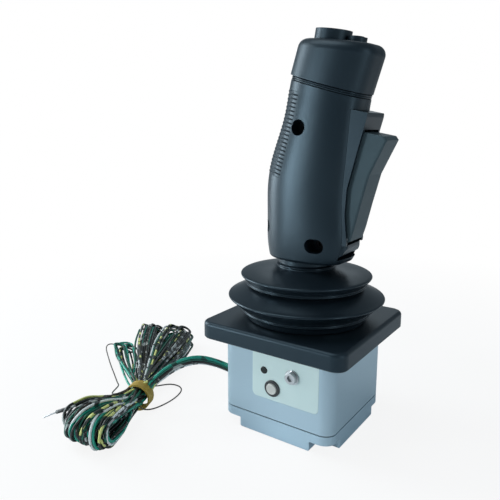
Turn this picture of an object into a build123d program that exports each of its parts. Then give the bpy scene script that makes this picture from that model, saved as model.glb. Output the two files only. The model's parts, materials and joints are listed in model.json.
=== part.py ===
from build123d import *
from math import copysign, cos, pi, radians, sin, tan
import os

# An industrial joystick on a panel flange: a sealed square housing below,
# a two axis lever under a rubber boot, and a moulded handle with a paddle
# trigger and two buttons. Its wires leave through the housing's side and
# lie beside it in a tied hank. Millimetres, Z up, X towards the trigger.
# The origin is the centre of the housing's underside.
os.makedirs("parts", exist_ok=True)

# Housing, cover and flange
housing_side = 87.5
housing_corner = 9.0
housing_wall = 2.5
housing_height = 52.8
cover_height = 14.4
cover_notch = 15.6
cover_tab = 6.4
cover_edge = 2.2
seal_thickness = 0.8
seal_inset = 0.8
flange_side = 112.0
flange_thickness = 12.4
flange_corner = 9.0
flange_edge = 2.6
flange_opening = 34.0
flange_under_edge = 0.8

# Fasteners of the housing and flange
post_pitch = 72.0
post_radius = 5.5
cover_screw_radius = 2.0
cover_screw_head = 3.9
cover_screw_head_height = 3.0
thread_engagement = 8.0
mount_pitch = 97.0
mount_hole_radius = 2.1
mount_hole_depth = 9.0
screw_hex = 1.9
screw_hex_depth = 1.8

# Controller board in the cover
board_side = 56.0
board_margin = 6.0
board_thickness = 1.6
board_z = 18.0
board_screw_radius = 1.2
standoff_radius = 3.2
part_height = 1.6
can_radius = 3.1
can_height = 8.0
connector_width = 8.0
connector_length = 24.0
connector_height = 8.5
connector_wall = 1.5
connector_x = -22.5

# Running and seating clearances
running_gap = 0.05
seat_gap = 0.3
hole_gap = 0.3

# Controls on the service face
led_x = -7.9
led_z = 50.4
led_radius = 2.7
led_proud = 0.7
led_rim = 1.3
button_x = -1.0
button_z = 38.5
button_radius = 4.0
button_travel = 0.8
button_proud = 2.2
button_bezel_radius = 6.0
button_bezel_proud = 1.2
bezel_wall = 1.2
bezel_depth = 5.8
plunger = 0.8
switch_side = 12.0
switch_depth = 3.8
earth_x = 14.4
earth_z = 51.0
earth_head_radius = 4.2
earth_head_height = 2.6
earth_washer_radius = 5.2
earth_washer_thickness = 0.8
earth_screw_radius = 2.0
earth_hex = 2.3

# Gimbal
pivot_z = 58.0
pin_radius = 3.0
bushing_radius = 4.8
frame_ring_inner = 31.8
frame_ring_outer = 40.8
frame_ring_thickness = 3.0
frame_screw_circle = 37.5
frame_screw_radius = 1.5
frame_screw_angles = [30, 150, 210, 330]
upright_inner = 26.5
upright_thickness = 7.5
upright_width = 22.0
upright_drop = 15.0
ring_outer = 23.0
ring_inner = 14.5
ring_height = 14.0
ring_flat = 23.5
ring_flat_width = 14.0
hub_radius = 11.0
hub_height = 18.0
sensor_side = 14.0
sensor_depth = 6.0
sensor_pocket = 3.6
magnet_radius = 2.5
magnet_thickness = 1.2
spring_wire = 0.6
spring_coil = 5.2
spring_turns = 3
spring_pitch = 1.25
crank_reach = 8.5
crank_pin = 1.6
crank_thickness = 1.6
crank_offset = 5.2
spring_post_reach = 12.5
spring_post_radius = 1.8

# Boot and lever
boot_wall = 2.0
boot_lip_radius = 43.4
boot_low_rim = (55.9, 98.2)
boot_valley = (39.6, 104.6)
boot_high_rim = (46.2, 112.4)
boot_neck_radius = 19.0
clamp_thickness = 2.2
clamp_width = 6.0
clamp_screw_radius = 1.3
rod_radius = 6.0
rod_top = 168.0
collar_radius = 17.7
collar_lip_radius = 19.6
collar_lip = 3.2
collar_bottom = 113.0
nut_flats = 19.0
nut_height = 7.0

# Handle
grip_bottom = 125.0
grip_bottom_edge = 2.4
grip_floor = 4.0
grip_wall = 2.6
adapter_radius = 8.5
adapter_height = 31.0
adapter_flange = 16.0
ring_tilt = 16.6
ring_centre_x = 15.0
ring_centre_z = 243.5
head_ring_thickness = 3.2
head_ring_inset = 0.9
cap_half_length = 28.9
cap_half_width = 22.4
cap_top_tilt = 9.5
cap_top_z = 274.3
cap_edge = 6.5
cap_wall = 2.6
outline_points = 16
rear_squareness = 2.15
cap_squareness = 2.5

# Handle sections from its floor to the ring under its head
# Each row: height, centre, rear and front reach, half width, front squareness, lean
grip_sections = [
    (grip_bottom, 1.2, 28.4, 30.6, 21.6, 3.1, 0.0),
    (130.0, 1.4, 29.6, 33.2, 22.2, 3.1, 0.0),
    (139.0, 1.6, 30.9, 35.2, 22.8, 3.1, 0.0),
    (160.0, 2.0, 31.6, 34.6, 23.0, 2.9, 0.0),
    (180.0, 2.4, 31.6, 34.4, 22.9, 2.9, 1.5),
    (200.0, 6.0, 29.9, 32.4, 22.5, 2.9, 7.5),
    (222.0, 10.6, 26.9, 30.0, 21.9, 2.8, 13.0),
    (233.0, 12.9, 27.2, 29.0, 21.7, 2.7, 15.2),
    (ring_centre_z, ring_centre_x, 27.4, 28.6, 21.7, 2.6, ring_tilt),
]

# Length of a prism along the handle's axis that reaches past the cap's sloping top
cap_reach = 1.5 * (cap_top_z - ring_centre_z)

# Buttons in the head
thumb_x = 16.2
thumb_collar_radius = 12.2
thumb_collar_height = 7.0
thumb_button_radius = 9.4
thumb_button_recess = 1.0
thumb_travel = 2.0
fire_x = 33.3
fire_collar_radius = 6.4
fire_collar_height = 3.6
fire_button_radius = 4.6
fire_travel = 1.5
button_rim = 0.9
button_rim_height = 1.6
thumb_switch_side = 13.0
fire_switch_side = 8.0
head_switch_height = 8.0
head_plunger = 1.2

# Trigger
frame_half_width = 14.4
paddle_half_width = 11.6
paddle_wall = 2.2
trigger_pivot = (35.6, 144.0)
trigger_pin_radius = 1.5
pin_cover = 0.7
hood_z = 216.0
lip_top_z = 139.4
lip_front = 36.6
lip_corner = 5.5
web_low_x = 24.6
web_x = 22.2
web_thickness = 2.0
web_step_z = 148.0
switch_z = 166.0
spring_z = 188.0
rib_length = 15.4

# Side view of the trigger frame, from its ledge round to its lip
frame_outline = [
    (30.0, 229.8),
    (38.7, 228.8),
    (48.4, 226.6),
    (48.2, 224.0),
    (42.3, 202.1),
    (36.1, 177.2),
    (35.3, 160.5),
    (37.2, 141.4),
    (36.4, 137.0),
    (34.2, 132.8),
    (30.6, 130.2),
    (web_low_x, 129.2),
    (web_low_x, web_step_z),
    (web_x, 156.0),
    (web_x, 178.0),
    (26.2, 204.0),
]

# Side view of the paddle, from its top round its front and foot
paddle_outline = [
    (44.0, 214.8),
    (58.6, 211.8),
    (60.4, 209.4),
    (49.8, 187.0),
    (44.5, 166.5),
    (40.6, 150.0),
    (38.2, 142.2),
    (35.0, 140.6),
    (32.4, 144.0),
    (31.6, 176.0),
    (37.6, 202.0),
]

# Handle screws
shell_screw_radius = 1.6
shell_screw_head = 3.2
screw_well_radius = 5.4
screw_well_depth = 9.0
upper_well = (3.0, 218.0)
lower_well = (17.0, 138.4)
boss_radius = 6.8
set_screw_turn = 206.8
set_screw_z = 147.6
set_screw_radius = 2.0
set_screw_well = 4.7
set_screw_head = 3.4
set_screw_floor = 17.0

# Wires
grommet_y = -5.0
grommet_z = 20.6
grommet_radius = 5.2
grommet_lip = 1.6
grommet_proud = 2.8
lead_radius = 3.2
tie_centre = (-107.0, -70.0)
tie_height = 12.0
tie_inner = 9.3
tie_wall = 1.4
tie_width = 9.0
tie_heading = -70.0
hank_waist = 9.0
waist_length = 32.0
lobe_start = 10.5
lobe_neck = 5.5
lobe_top_edge = 3.0
lobe_foot_edge = 1.5
tail_radius = 0.9
sleeve_radius = 1.5
sleeve_length = 10.0
tip_radius = 0.45
tip_length = 9.0

# Loops of the hank: heading, length, half width at the widest, height
hank_lobes = [
    (-98.0, 70.0, 15.0, 25.0),
    (-82.0, 72.0, 16.0, 25.0),
    (145.0, 121.0, 12.0, 11.0),
    (128.0, 144.0, 16.0, 20.0),
    (112.0, 139.0, 16.0, 15.0),
]

# Levels and faces that follow from the sizes above
seal_z = cover_height
housing_z = seal_z + seal_thickness
flange_z = housing_z + housing_height
flange_top = flange_z + flange_thickness
half_side = housing_side / 2
inner_half = half_side - housing_wall
wall_x = -half_side
upright_outer = upright_inner + upright_thickness
frame_z = flange_z - frame_ring_thickness
foot_width = housing_side - 2 * cover_notch
screw_head_z = cover_height - cover_tab + cover_screw_head_height + hole_gap
board_pitch = board_side - 2 * board_margin
board_top = board_z + board_thickness
earth_seat = -half_side - earth_washer_thickness
stub_end = upright_outer - 0.4
cross_end = ring_flat - 0.4
crank_x = upright_outer + crank_offset
crank_y = ring_flat + crank_offset
lip_z = flange_top + boot_wall / 2
clamp_z = flange_top + boot_wall
adapter_top = grip_bottom + adapter_height
channel_half = paddle_half_width + 0.5
thumb_bore = thumb_button_radius + hole_gap
fire_bore = fire_button_radius + hole_gap

made = []


def save(part, label):
    """Name a finished piece and write it."""
    part.label = label
    export_step(part, f"parts/{label}.step")
    made.append(label)


def front_plane(x, z, y=-half_side):
    """Plane on the service face, looking out along minus Y."""
    return Plane(origin=(x, y, z), x_dir=(1, 0, 0), z_dir=(0, -1, 0))


def ring_plane(rise=0.0):
    """Plane across the top of the handle, raised along the handle's axis."""
    lean = radians(ring_tilt)
    across = (cos(lean), 0, -sin(lean))
    along = (sin(lean), 0, cos(lean))
    origin = (ring_centre_x + rise * along[0], 0, ring_centre_z + rise * along[2])
    return Plane(origin=origin, x_dir=across, z_dir=along)


def cap_plane(x, rise=0.0):
    """Plane on the head's sloping top at x, raised square to it."""
    lean = radians(cap_top_tilt)
    z = cap_top_z - (x - thumb_x) * tan(lean)
    along = (sin(lean), 0, cos(lean))
    origin = (x + rise * along[0], 0, z + rise * along[2])
    return Plane(origin=origin, x_dir=(cos(lean), 0, -sin(lean)), z_dir=along)


def oval_points(rear, front, half_width, squareness):
    """Points of a closed curve, elliptical behind and squarer in front."""
    points = []
    for step in range(outline_points):
        turn = 2 * pi * step / outline_points
        power = 2 / squareness if cos(turn) > 0 else 2 / rear_squareness
        reach = front if cos(turn) > 0 else rear
        x = reach * copysign(abs(cos(turn)) ** power, cos(turn))
        y = half_width * copysign(abs(sin(turn)) ** power, sin(turn))
        points.append((x, y))
    return points


# Housing: an open square tube with a screw post in each corner
with BuildPart() as base_housing:
    with BuildSketch(Plane.XY.offset(housing_z)):
        RectangleRounded(housing_side, housing_side, housing_corner)
        inner_side = housing_side - 2 * housing_wall
        inner_corner = housing_corner - housing_wall
        RectangleRounded(inner_side, inner_side, inner_corner, mode=Mode.SUBTRACT)
        with GridLocations(post_pitch, post_pitch, 2, 2):
            Circle(post_radius)
        with GridLocations(post_pitch, post_pitch, 2, 2):
            Circle(cover_screw_radius + hole_gap, mode=Mode.SUBTRACT)
    extrude(amount=housing_height)
    for x, z, radius in (
        (led_x, led_z, led_radius),
        (button_x, button_z, button_radius + bezel_wall),
        (earth_x, earth_z, earth_screw_radius),
    ):
        with BuildSketch(front_plane(x, z)):
            Circle(radius + running_gap)
        extrude(amount=-housing_wall * 2, mode=Mode.SUBTRACT)
    with BuildSketch(Plane(origin=(-half_side, grommet_y, grommet_z), z_dir=(-1, 0, 0))):
        Circle(grommet_radius - grommet_lip + running_gap)
    extrude(amount=-housing_wall * 2, mode=Mode.SUBTRACT)
save(base_housing.part, "base_housing")

# Gasket between the housing and its cover, set back as a thin dark line
with BuildPart() as cover_seal:
    with BuildSketch(Plane.XY.offset(seal_z)):
        seal_side = housing_side - 2 * seal_inset
        RectangleRounded(seal_side, seal_side, housing_corner - seal_inset)
        RectangleRounded(inner_side, inner_side, inner_corner, mode=Mode.SUBTRACT)
        with GridLocations(post_pitch, post_pitch, 2, 2):
            Circle(post_radius)
        with GridLocations(post_pitch, post_pitch, 2, 2):
            Circle(cover_screw_radius + hole_gap, mode=Mode.SUBTRACT)
    extrude(amount=seal_thickness)
save(cover_seal.part, "cover_seal")

# Bottom cover: a tray whose four corners are cut up to the screw tabs
with BuildPart() as bottom_cover:
    with BuildSketch():
        Rectangle(housing_side, foot_width)
        Rectangle(foot_width, housing_side)
    extrude(amount=cover_height - cover_tab)
    bottom_edges = bottom_cover.faces().sort_by(Axis.Z)[0].edges()
    fillet(bottom_edges, cover_edge)
    with BuildSketch(Plane.XY.offset(cover_height - cover_tab)):
        RectangleRounded(housing_side, housing_side, housing_corner)
    extrude(amount=cover_tab)
    with BuildSketch(Plane.XY.offset(cover_height)):
        Rectangle(inner_side, foot_width - 2 * housing_wall)
        Rectangle(foot_width - 2 * housing_wall, inner_side)
    extrude(amount=-(cover_height - housing_wall), mode=Mode.SUBTRACT)
    with BuildSketch(Plane.XY.offset(housing_wall)):
        with GridLocations(board_pitch, board_pitch, 2, 2):
            Circle(standoff_radius)
    extrude(amount=board_z - housing_wall)
    with BuildSketch(Plane.XY.offset(board_z)):
        with GridLocations(board_pitch, board_pitch, 2, 2):
            Circle(board_screw_radius + running_gap)
    extrude(amount=-thread_engagement, mode=Mode.SUBTRACT)
    with BuildSketch(Plane.XY.offset(cover_height)):
        with GridLocations(post_pitch, post_pitch, 2, 2):
            Circle(cover_screw_radius + hole_gap)
    extrude(amount=-cover_tab, mode=Mode.SUBTRACT)
    with BuildSketch(Plane.XY.offset(cover_height - cover_tab)):
        with GridLocations(post_pitch, post_pitch, 2, 2):
            Circle(cover_screw_head + hole_gap)
    extrude(amount=cover_screw_head_height + hole_gap, mode=Mode.SUBTRACT)
save(bottom_cover.part, "bottom_cover")

# Long screws from under the tabs, through the posts, into the flange
with BuildPart() as cover_screws:
    with BuildSketch(Plane.XY.offset(screw_head_z)):
        with GridLocations(post_pitch, post_pitch, 2, 2):
            Circle(cover_screw_head)
    extrude(amount=-cover_screw_head_height)
    with BuildSketch(Plane.XY.offset(screw_head_z)):
        with GridLocations(post_pitch, post_pitch, 2, 2):
            Circle(cover_screw_radius)
    extrude(amount=flange_z + thread_engagement - screw_head_z)
    with BuildSketch(Plane.XY.offset(screw_head_z - cover_screw_head_height)):
        with GridLocations(post_pitch, post_pitch, 2, 2):
            RegularPolygon(screw_hex, 6)
    extrude(amount=screw_hex_depth, mode=Mode.SUBTRACT)
save(cover_screws.part, "cover_screws")

# Flange: a thick square plate that rests on the panel
with BuildPart() as flange_bezel:
    with BuildSketch(Plane.XY.offset(flange_z)):
        RectangleRounded(flange_side, flange_side, flange_corner)
    extrude(amount=flange_thickness)
    fillet(flange_bezel.faces().sort_by(Axis.Z)[-1].edges(), flange_edge)
    chamfer(flange_bezel.faces().sort_by(Axis.Z)[0].edges(), flange_under_edge)
    with BuildSketch(Plane.XY.offset(flange_z)):
        Circle(flange_opening)
    extrude(amount=flange_thickness, mode=Mode.SUBTRACT)
    with BuildSketch(Plane.XY.offset(flange_z)):
        with GridLocations(mount_pitch, mount_pitch, 2, 2):
            Circle(mount_hole_radius)
    extrude(amount=mount_hole_depth, mode=Mode.SUBTRACT)
    with BuildSketch(Plane.XY.offset(flange_z)):
        with GridLocations(post_pitch, post_pitch, 2, 2):
            Circle(cover_screw_radius + running_gap)
        for angle in frame_screw_angles:
            with PolarLocations(frame_screw_circle, 1, angle):
                Circle(frame_screw_radius + running_gap)
    extrude(amount=thread_engagement + hole_gap, mode=Mode.SUBTRACT)
    with BuildSketch(Plane.XY.offset(flange_top)):
        with PolarLocations(flange_opening + clamp_width / 2, 4):
            Circle(clamp_screw_radius + running_gap)
    extrude(amount=-5.0, mode=Mode.SUBTRACT)
save(flange_bezel.part, "flange_bezel")

# Status light: a domed lens held by its inner rim
with BuildPart() as led_lens:
    with BuildSketch(front_plane(led_x, led_z, -inner_half)):
        Circle(led_radius)
    extrude(amount=housing_wall + led_proud)
    fillet(led_lens.faces().sort_by(Axis.Y)[0].edges(), 0.6)
    with BuildSketch(front_plane(led_x, led_z, -inner_half)):
        Circle(led_radius + led_rim)
    extrude(amount=-1.6)
save(led_lens.part, "led_lens")

# Push button: metal ring, cap and the switch behind them
with BuildPart() as button_bezel:
    with BuildSketch(front_plane(button_x, button_z)):
        Circle(button_bezel_radius)
    extrude(amount=button_bezel_proud)
    fillet(button_bezel.faces().sort_by(Axis.Y)[0].edges(), 0.5)
    with BuildSketch(front_plane(button_x, button_z)):
        Circle(button_radius + bezel_wall)
    extrude(amount=-bezel_depth)
    with BuildSketch(front_plane(button_x, button_z, -half_side - button_bezel_proud)):
        Circle(button_radius + 0.2)
    extrude(amount=-(button_bezel_proud + bezel_depth), mode=Mode.SUBTRACT)
save(button_bezel.part, "button_bezel")

with BuildPart() as button_cap:
    with BuildSketch(front_plane(button_x, button_z, -half_side - button_proud)):
        Circle(button_radius)
    extrude(amount=-(button_proud + bezel_depth - button_travel - seat_gap - plunger))
    fillet(button_cap.faces().sort_by(Axis.Y)[0].edges(), 0.6)
save(button_cap.part, "button_cap")

with BuildPart() as button_switch:
    with BuildSketch(front_plane(button_x, button_z, -half_side + bezel_depth)):
        RectangleRounded(switch_side, switch_side, 0.8)
    extrude(amount=-switch_depth)
    with BuildSketch(front_plane(button_x, button_z, -half_side + bezel_depth)):
        Circle(button_radius / 2)
    extrude(amount=plunger)
save(button_switch.part, "button_switch")

# Earth screw with its washer, screwed through the wall
with BuildPart() as earth_washer:
    with BuildSketch(front_plane(earth_x, earth_z)):
        Circle(earth_washer_radius)
        Circle(earth_screw_radius + running_gap, mode=Mode.SUBTRACT)
    extrude(amount=earth_washer_thickness)
save(earth_washer.part, "earth_washer")

with BuildPart() as earth_screw:
    with BuildSketch(front_plane(earth_x, earth_z, earth_seat)):
        Circle(earth_head_radius)
    extrude(amount=earth_head_height)
    fillet(earth_screw.faces().sort_by(Axis.Y)[0].edges(), 0.6)
    with BuildSketch(front_plane(earth_x, earth_z, earth_seat)):
        Circle(earth_screw_radius)
    extrude(amount=-(earth_washer_thickness + housing_wall + 3.0))
    with BuildSketch(front_plane(earth_x, earth_z, earth_seat - earth_head_height)):
        RegularPolygon(earth_hex, 6)
    extrude(amount=-1.7, mode=Mode.SUBTRACT)
save(earth_screw.part, "earth_screw")

# Controller board on the cover's standoffs, with its parts
with BuildPart() as controller_board:
    with BuildSketch(Plane.XY.offset(board_z)):
        RectangleRounded(board_side, board_side, 2.0)
        with GridLocations(board_pitch, board_pitch, 2, 2):
            Circle(board_screw_radius + hole_gap, mode=Mode.SUBTRACT)
    extrude(amount=board_thickness)
save(controller_board.part, "controller_board")

with BuildPart() as board_chips:
    with BuildSketch(Plane.XY.offset(board_top)):
        with Locations((6, 4)):
            Rectangle(14, 14)
        with Locations((6, -14)):
            Rectangle(9, 6)
    extrude(amount=part_height)
    with BuildSketch(Plane.XY.offset(board_top)):
        with Locations((-8, 16), (-1, 16)):
            Circle(can_radius)
    extrude(amount=can_height)
save(board_chips.part, "board_chips")

with BuildPart() as board_connector:
    with BuildSketch(Plane.XY.offset(board_top)):
        with Locations((connector_x, grommet_y)):
            Rectangle(connector_width, connector_length)
    extrude(amount=connector_height)
    with BuildSketch(Plane.XY.offset(board_top + connector_height)):
        with Locations((connector_x, grommet_y)):
            Rectangle(connector_width - 2 * connector_wall, connector_length - 2 * connector_wall)
    extrude(amount=-(connector_height - 2.5), mode=Mode.SUBTRACT)
save(board_connector.part, "board_connector")

with BuildPart() as board_screws:
    with BuildSketch(Plane.XY.offset(board_top)):
        with GridLocations(board_pitch, board_pitch, 2, 2):
            Circle(2 * board_screw_radius)
    extrude(amount=part_height)
    with BuildSketch(Plane.XY.offset(board_top)):
        with GridLocations(board_pitch, board_pitch, 2, 2):
            Circle(board_screw_radius)
    extrude(amount=-(board_thickness + 5.0))
save(board_screws.part, "board_screws")

# Gimbal frame: a ring under the flange with an upright at each side
with BuildPart() as gimbal_frame:
    with BuildSketch(Plane.XY.offset(frame_z)):
        Circle(frame_ring_outer)
        Circle(frame_ring_inner, mode=Mode.SUBTRACT)
        for angle in frame_screw_angles:
            with PolarLocations(frame_screw_circle, 1, angle):
                Circle(frame_screw_radius + hole_gap, mode=Mode.SUBTRACT)
    extrude(amount=frame_ring_thickness)
    with BuildSketch(Plane.XY.offset(pivot_z - upright_drop)):
        with Locations((upright_inner + upright_thickness / 2, 0)):
            Rectangle(upright_thickness, upright_width)
        with Locations((-upright_inner - upright_thickness / 2, 0)):
            Rectangle(upright_thickness, upright_width)
    extrude(amount=flange_z - pivot_z + upright_drop)
    with BuildSketch(Plane.YZ.offset(-upright_outer)):
        with Locations((0, pivot_z)):
            Circle(bushing_radius)
    extrude(amount=2 * upright_outer, mode=Mode.SUBTRACT)
    with BuildSketch(Plane.YZ.offset(-upright_outer)):
        with Locations((0, pivot_z - spring_post_reach)):
            Circle(spring_post_radius)
    extrude(amount=-4.6)
save(gimbal_frame.part, "gimbal_frame")

with BuildPart() as frame_bushings:
    for start in (upright_inner, -upright_outer):
        with BuildSketch(Plane.YZ.offset(start)):
            with Locations((0, pivot_z)):
                Circle(bushing_radius)
                Circle(pin_radius + running_gap, mode=Mode.SUBTRACT)
        extrude(amount=upright_thickness)
save(frame_bushings.part, "frame_bushings")

with BuildPart() as frame_screws:
    for angle in frame_screw_angles:
        with BuildSketch(Plane.XY.offset(frame_z)):
            with PolarLocations(frame_screw_circle, 1, angle):
                Circle(2.8)
        extrude(amount=-2.0)
        with BuildSketch(Plane.XY.offset(frame_z)):
            with PolarLocations(frame_screw_circle, 1, angle):
                Circle(frame_screw_radius)
        extrude(amount=frame_ring_thickness + thread_engagement)
save(frame_screws.part, "frame_screws")

# Gimbal ring: carries the stub shafts, the cross pin and the second sensor
with BuildPart() as gimbal_ring:
    with BuildSketch(Plane.XY.offset(pivot_z - ring_height / 2)):
        Circle(ring_outer)
        Rectangle(ring_flat_width, 2 * ring_flat)
        Circle(ring_inner, mode=Mode.SUBTRACT)
    extrude(amount=ring_height)
    with BuildSketch(Plane.XY.offset(pivot_z - upright_drop)):
        with Locations((0, ring_flat - 2.5)):
            Rectangle(8.0, 5.0)
    extrude(amount=upright_drop)
    with BuildSketch(Plane.XZ.offset(-ring_flat)):
        with Locations((0, pivot_z - spring_post_reach)):
            Circle(spring_post_radius)
    extrude(amount=-4.6)
    with BuildSketch(Plane.XZ.offset(-ring_flat)):
        with Locations((0, pivot_z)):
            Circle(bushing_radius)
    extrude(amount=2 * ring_flat, mode=Mode.SUBTRACT)
    with BuildSketch(Plane.YZ.offset(ring_outer - 2)):
        with Locations((0, pivot_z)):
            Circle(pin_radius)
    extrude(amount=stub_end - ring_outer + 2)
    with BuildSketch(Plane.YZ.offset(-ring_outer + 2)):
        with Locations((0, pivot_z)):
            Circle(pin_radius)
    extrude(amount=-(crank_x - ring_outer + 2))
save(gimbal_ring.part, "gimbal_ring")

with BuildPart() as ring_bushings:
    for start in (ring_flat, -ring_inner - 1.0):
        with BuildSketch(Plane.XZ.offset(-start)):
            with Locations((0, pivot_z)):
                Circle(bushing_radius)
                Circle(pin_radius + running_gap, mode=Mode.SUBTRACT)
        extrude(amount=ring_flat - ring_inner - 1.0)
save(ring_bushings.part, "ring_bushings")

# Lever rod with its hub, and the cross pin through both
with BuildPart() as lever_rod:
    with BuildSketch(Plane.XY.offset(pivot_z - hub_height / 2)):
        Circle(hub_radius)
    extrude(amount=hub_height)
    chamfer(lever_rod.faces().sort_by(Axis.Z)[-1].edges(), 2.0)
    with BuildSketch(Plane.XY.offset(pivot_z)):
        Circle(rod_radius)
    extrude(amount=rod_top - pivot_z)
    chamfer(lever_rod.faces().sort_by(Axis.Z)[-1].edges(), 1.0)
    with BuildSketch(Plane.XZ.offset(-ring_outer)):
        with Locations((0, pivot_z)):
            Circle(pin_radius + 0.02)
    extrude(amount=2 * ring_outer, mode=Mode.SUBTRACT)
save(lever_rod.part, "lever_rod")

with BuildPart() as cross_pin:
    with BuildSketch(Plane.XZ.offset(-crank_y)):
        with Locations((0, pivot_z)):
            Circle(pin_radius)
    extrude(amount=crank_y + cross_end)
save(cross_pin.part, "cross_pin")


def crank(plane):
    """Flat arm with a hub hole and an inward pin, made at its own plane."""
    with BuildPart() as arm:
        with BuildSketch(plane):
            Circle(pin_radius + 2.2)
            with Locations((0, -crank_reach / 2)):
                Rectangle(2 * crank_pin, crank_reach)
            with Locations((0, -crank_reach)):
                Circle(crank_pin)
        extrude(amount=crank_thickness)
        with BuildSketch(plane):
            with Locations((0, -crank_reach)):
                Circle(crank_pin)
        extrude(amount=-4.2)
    return arm.part


def torsion_spring():
    """Coil round the pivot with two legs that reach down past the post."""
    height = spring_turns * spring_pitch
    spread = spring_post_radius + spring_wire + 0.2
    with BuildPart() as coil:
        with BuildLine():
            helix = Helix(spring_pitch, height, spring_coil)
        with BuildSketch(Plane(origin=helix @ 0, z_dir=helix % 0)):
            Circle(spring_wire)
        sweep()
        for side, rise in ((-1, height), (1, 0.0)):
            foot = Vector(spring_post_reach + 1.5, side * spread, rise)
            leg_top = Vector(0, side * spring_coil, rise)
            direction = foot - leg_top
            with BuildSketch(Plane(origin=leg_top, z_dir=direction)):
                Circle(spring_wire)
            extrude(amount=direction.length)
    return coil.part


roll_axis = Plane(origin=(-upright_outer - 0.7, 0, pivot_z), x_dir=(0, 0, -1), z_dir=(-1, 0, 0))
pitch_axis = Plane(origin=(0, ring_flat + 0.7, pivot_z), x_dir=(0, 0, -1), z_dir=(0, 1, 0))
roll_spring = roll_axis * torsion_spring()
save(roll_spring, "roll_spring")
pitch_spring = pitch_axis * torsion_spring()
save(pitch_spring, "pitch_spring")
roll_crank = crank(Plane(origin=(-crank_x, 0, pivot_z), x_dir=(0, -1, 0), z_dir=(-1, 0, 0)))
save(roll_crank, "roll_crank")
pitch_crank = crank(Plane(origin=(0, crank_y, pivot_z), x_dir=(-1, 0, 0), z_dir=(0, 1, 0)))
save(pitch_crank, "pitch_crank")


def sensor(plane):
    """Square sensor body with a round pocket that the magnet turns in."""
    with BuildPart() as body:
        with BuildSketch(plane):
            RectangleRounded(sensor_side, sensor_side, 1.0)
        extrude(amount=sensor_depth)
        with BuildSketch(plane):
            Circle(sensor_pocket)
        extrude(amount=2.0, mode=Mode.SUBTRACT)
    return body.part


def magnet(plane):
    """Small round magnet on the end of a shaft."""
    with BuildPart() as disc:
        with BuildSketch(plane):
            Circle(magnet_radius)
        extrude(amount=magnet_thickness)
    return disc.part


roll_sensor = sensor(Plane(origin=(upright_outer, 0, pivot_z), z_dir=(1, 0, 0)))
save(roll_sensor, "roll_sensor")
roll_magnet = magnet(Plane(origin=(stub_end, 0, pivot_z), z_dir=(1, 0, 0)))
save(roll_magnet, "roll_magnet")
pitch_sensor = sensor(Plane(origin=(0, -ring_flat, pivot_z), z_dir=(0, -1, 0)))
save(pitch_sensor, "pitch_sensor")
pitch_magnet = magnet(Plane(origin=(0, -cross_end, pivot_z), z_dir=(0, -1, 0)))
save(pitch_magnet, "pitch_magnet")

# Bellows boot: one closed section turned about the lever
with BuildPart() as bellows_boot:
    with BuildSketch(Plane.XZ):
        with BuildLine() as boot_line:
            Polyline(
                (flange_opening + 1.2, lip_z),
                (boot_lip_radius, lip_z),
                (boot_lip_radius + 0.6, lip_z + 4.0),
                boot_low_rim,
                boot_valley,
                boot_high_rim,
                (boot_neck_radius + 3.0, 115.4),
                (boot_neck_radius, 117.0),
                (boot_neck_radius, grip_bottom - collar_lip - seat_gap - boot_wall / 2),
            )
            offset(amount=boot_wall / 2, kind=Kind.ARC)
        make_face()
    revolve(axis=Axis.Z)
    with BuildSketch(Plane.XY.offset(flange_top)):
        with PolarLocations(flange_opening + clamp_width / 2, 4):
            Circle(clamp_screw_radius + hole_gap)
    extrude(amount=boot_wall, mode=Mode.SUBTRACT)
save(bellows_boot.part, "bellows_boot")

with BuildPart() as boot_clamp_ring:
    with BuildSketch(Plane.XY.offset(clamp_z)):
        Circle(flange_opening + clamp_width)
        Circle(flange_opening, mode=Mode.SUBTRACT)
        with PolarLocations(flange_opening + clamp_width / 2, 4):
            Circle(clamp_screw_radius + running_gap, mode=Mode.SUBTRACT)
    extrude(amount=clamp_thickness)
save(boot_clamp_ring.part, "boot_clamp_ring")

with BuildPart() as clamp_screws:
    with BuildSketch(Plane.XY.offset(clamp_z + clamp_thickness)):
        with PolarLocations(flange_opening + clamp_width / 2, 4):
            Circle(2 * clamp_screw_radius)
    extrude(amount=1.6)
    with BuildSketch(Plane.XY.offset(clamp_z + clamp_thickness)):
        with PolarLocations(flange_opening + clamp_width / 2, 4):
            Circle(clamp_screw_radius)
    extrude(amount=-(clamp_thickness + boot_wall + 4.5))
save(clamp_screws.part, "clamp_screws")

# Collar on the rod, under the handle, that the boot's neck closes round
with BuildPart() as neck_collar:
    with BuildSketch(Plane.XY.offset(collar_bottom)):
        Circle(collar_radius)
    extrude(amount=grip_bottom - collar_bottom)
    with BuildSketch(Plane.XY.offset(grip_bottom - collar_lip)):
        Circle(collar_lip_radius)
    extrude(amount=collar_lip)
    fillet(neck_collar.faces().sort_by(Axis.Z)[-1].edges(), 0.5)
    with BuildSketch(Plane.XY.offset(collar_bottom)):
        Circle(rod_radius + running_gap)
    extrude(amount=grip_bottom - collar_bottom, mode=Mode.SUBTRACT)
save(neck_collar.part, "neck_collar")

# Adapter that joins the handle to the rod, and the nut above it
with BuildPart() as grip_adapter:
    with BuildSketch(Plane.XY.offset(grip_bottom)):
        Circle(adapter_radius)
    extrude(amount=adapter_height)
    with BuildSketch(Plane.XY.offset(grip_bottom + grip_floor)):
        Circle(adapter_flange)
    extrude(amount=3.0)
    with BuildSketch(Plane.XY.offset(grip_bottom)):
        Circle(rod_radius + running_gap)
    extrude(amount=adapter_height, mode=Mode.SUBTRACT)
save(grip_adapter.part, "grip_adapter")

with BuildPart() as jam_nut:
    with BuildSketch(Plane.XY.offset(adapter_top)):
        RegularPolygon(nut_flats / 2, 6, major_radius=False)
        Circle(rod_radius + running_gap, mode=Mode.SUBTRACT)
    extrude(amount=nut_height)
save(jam_nut.part, "jam_nut")


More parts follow.
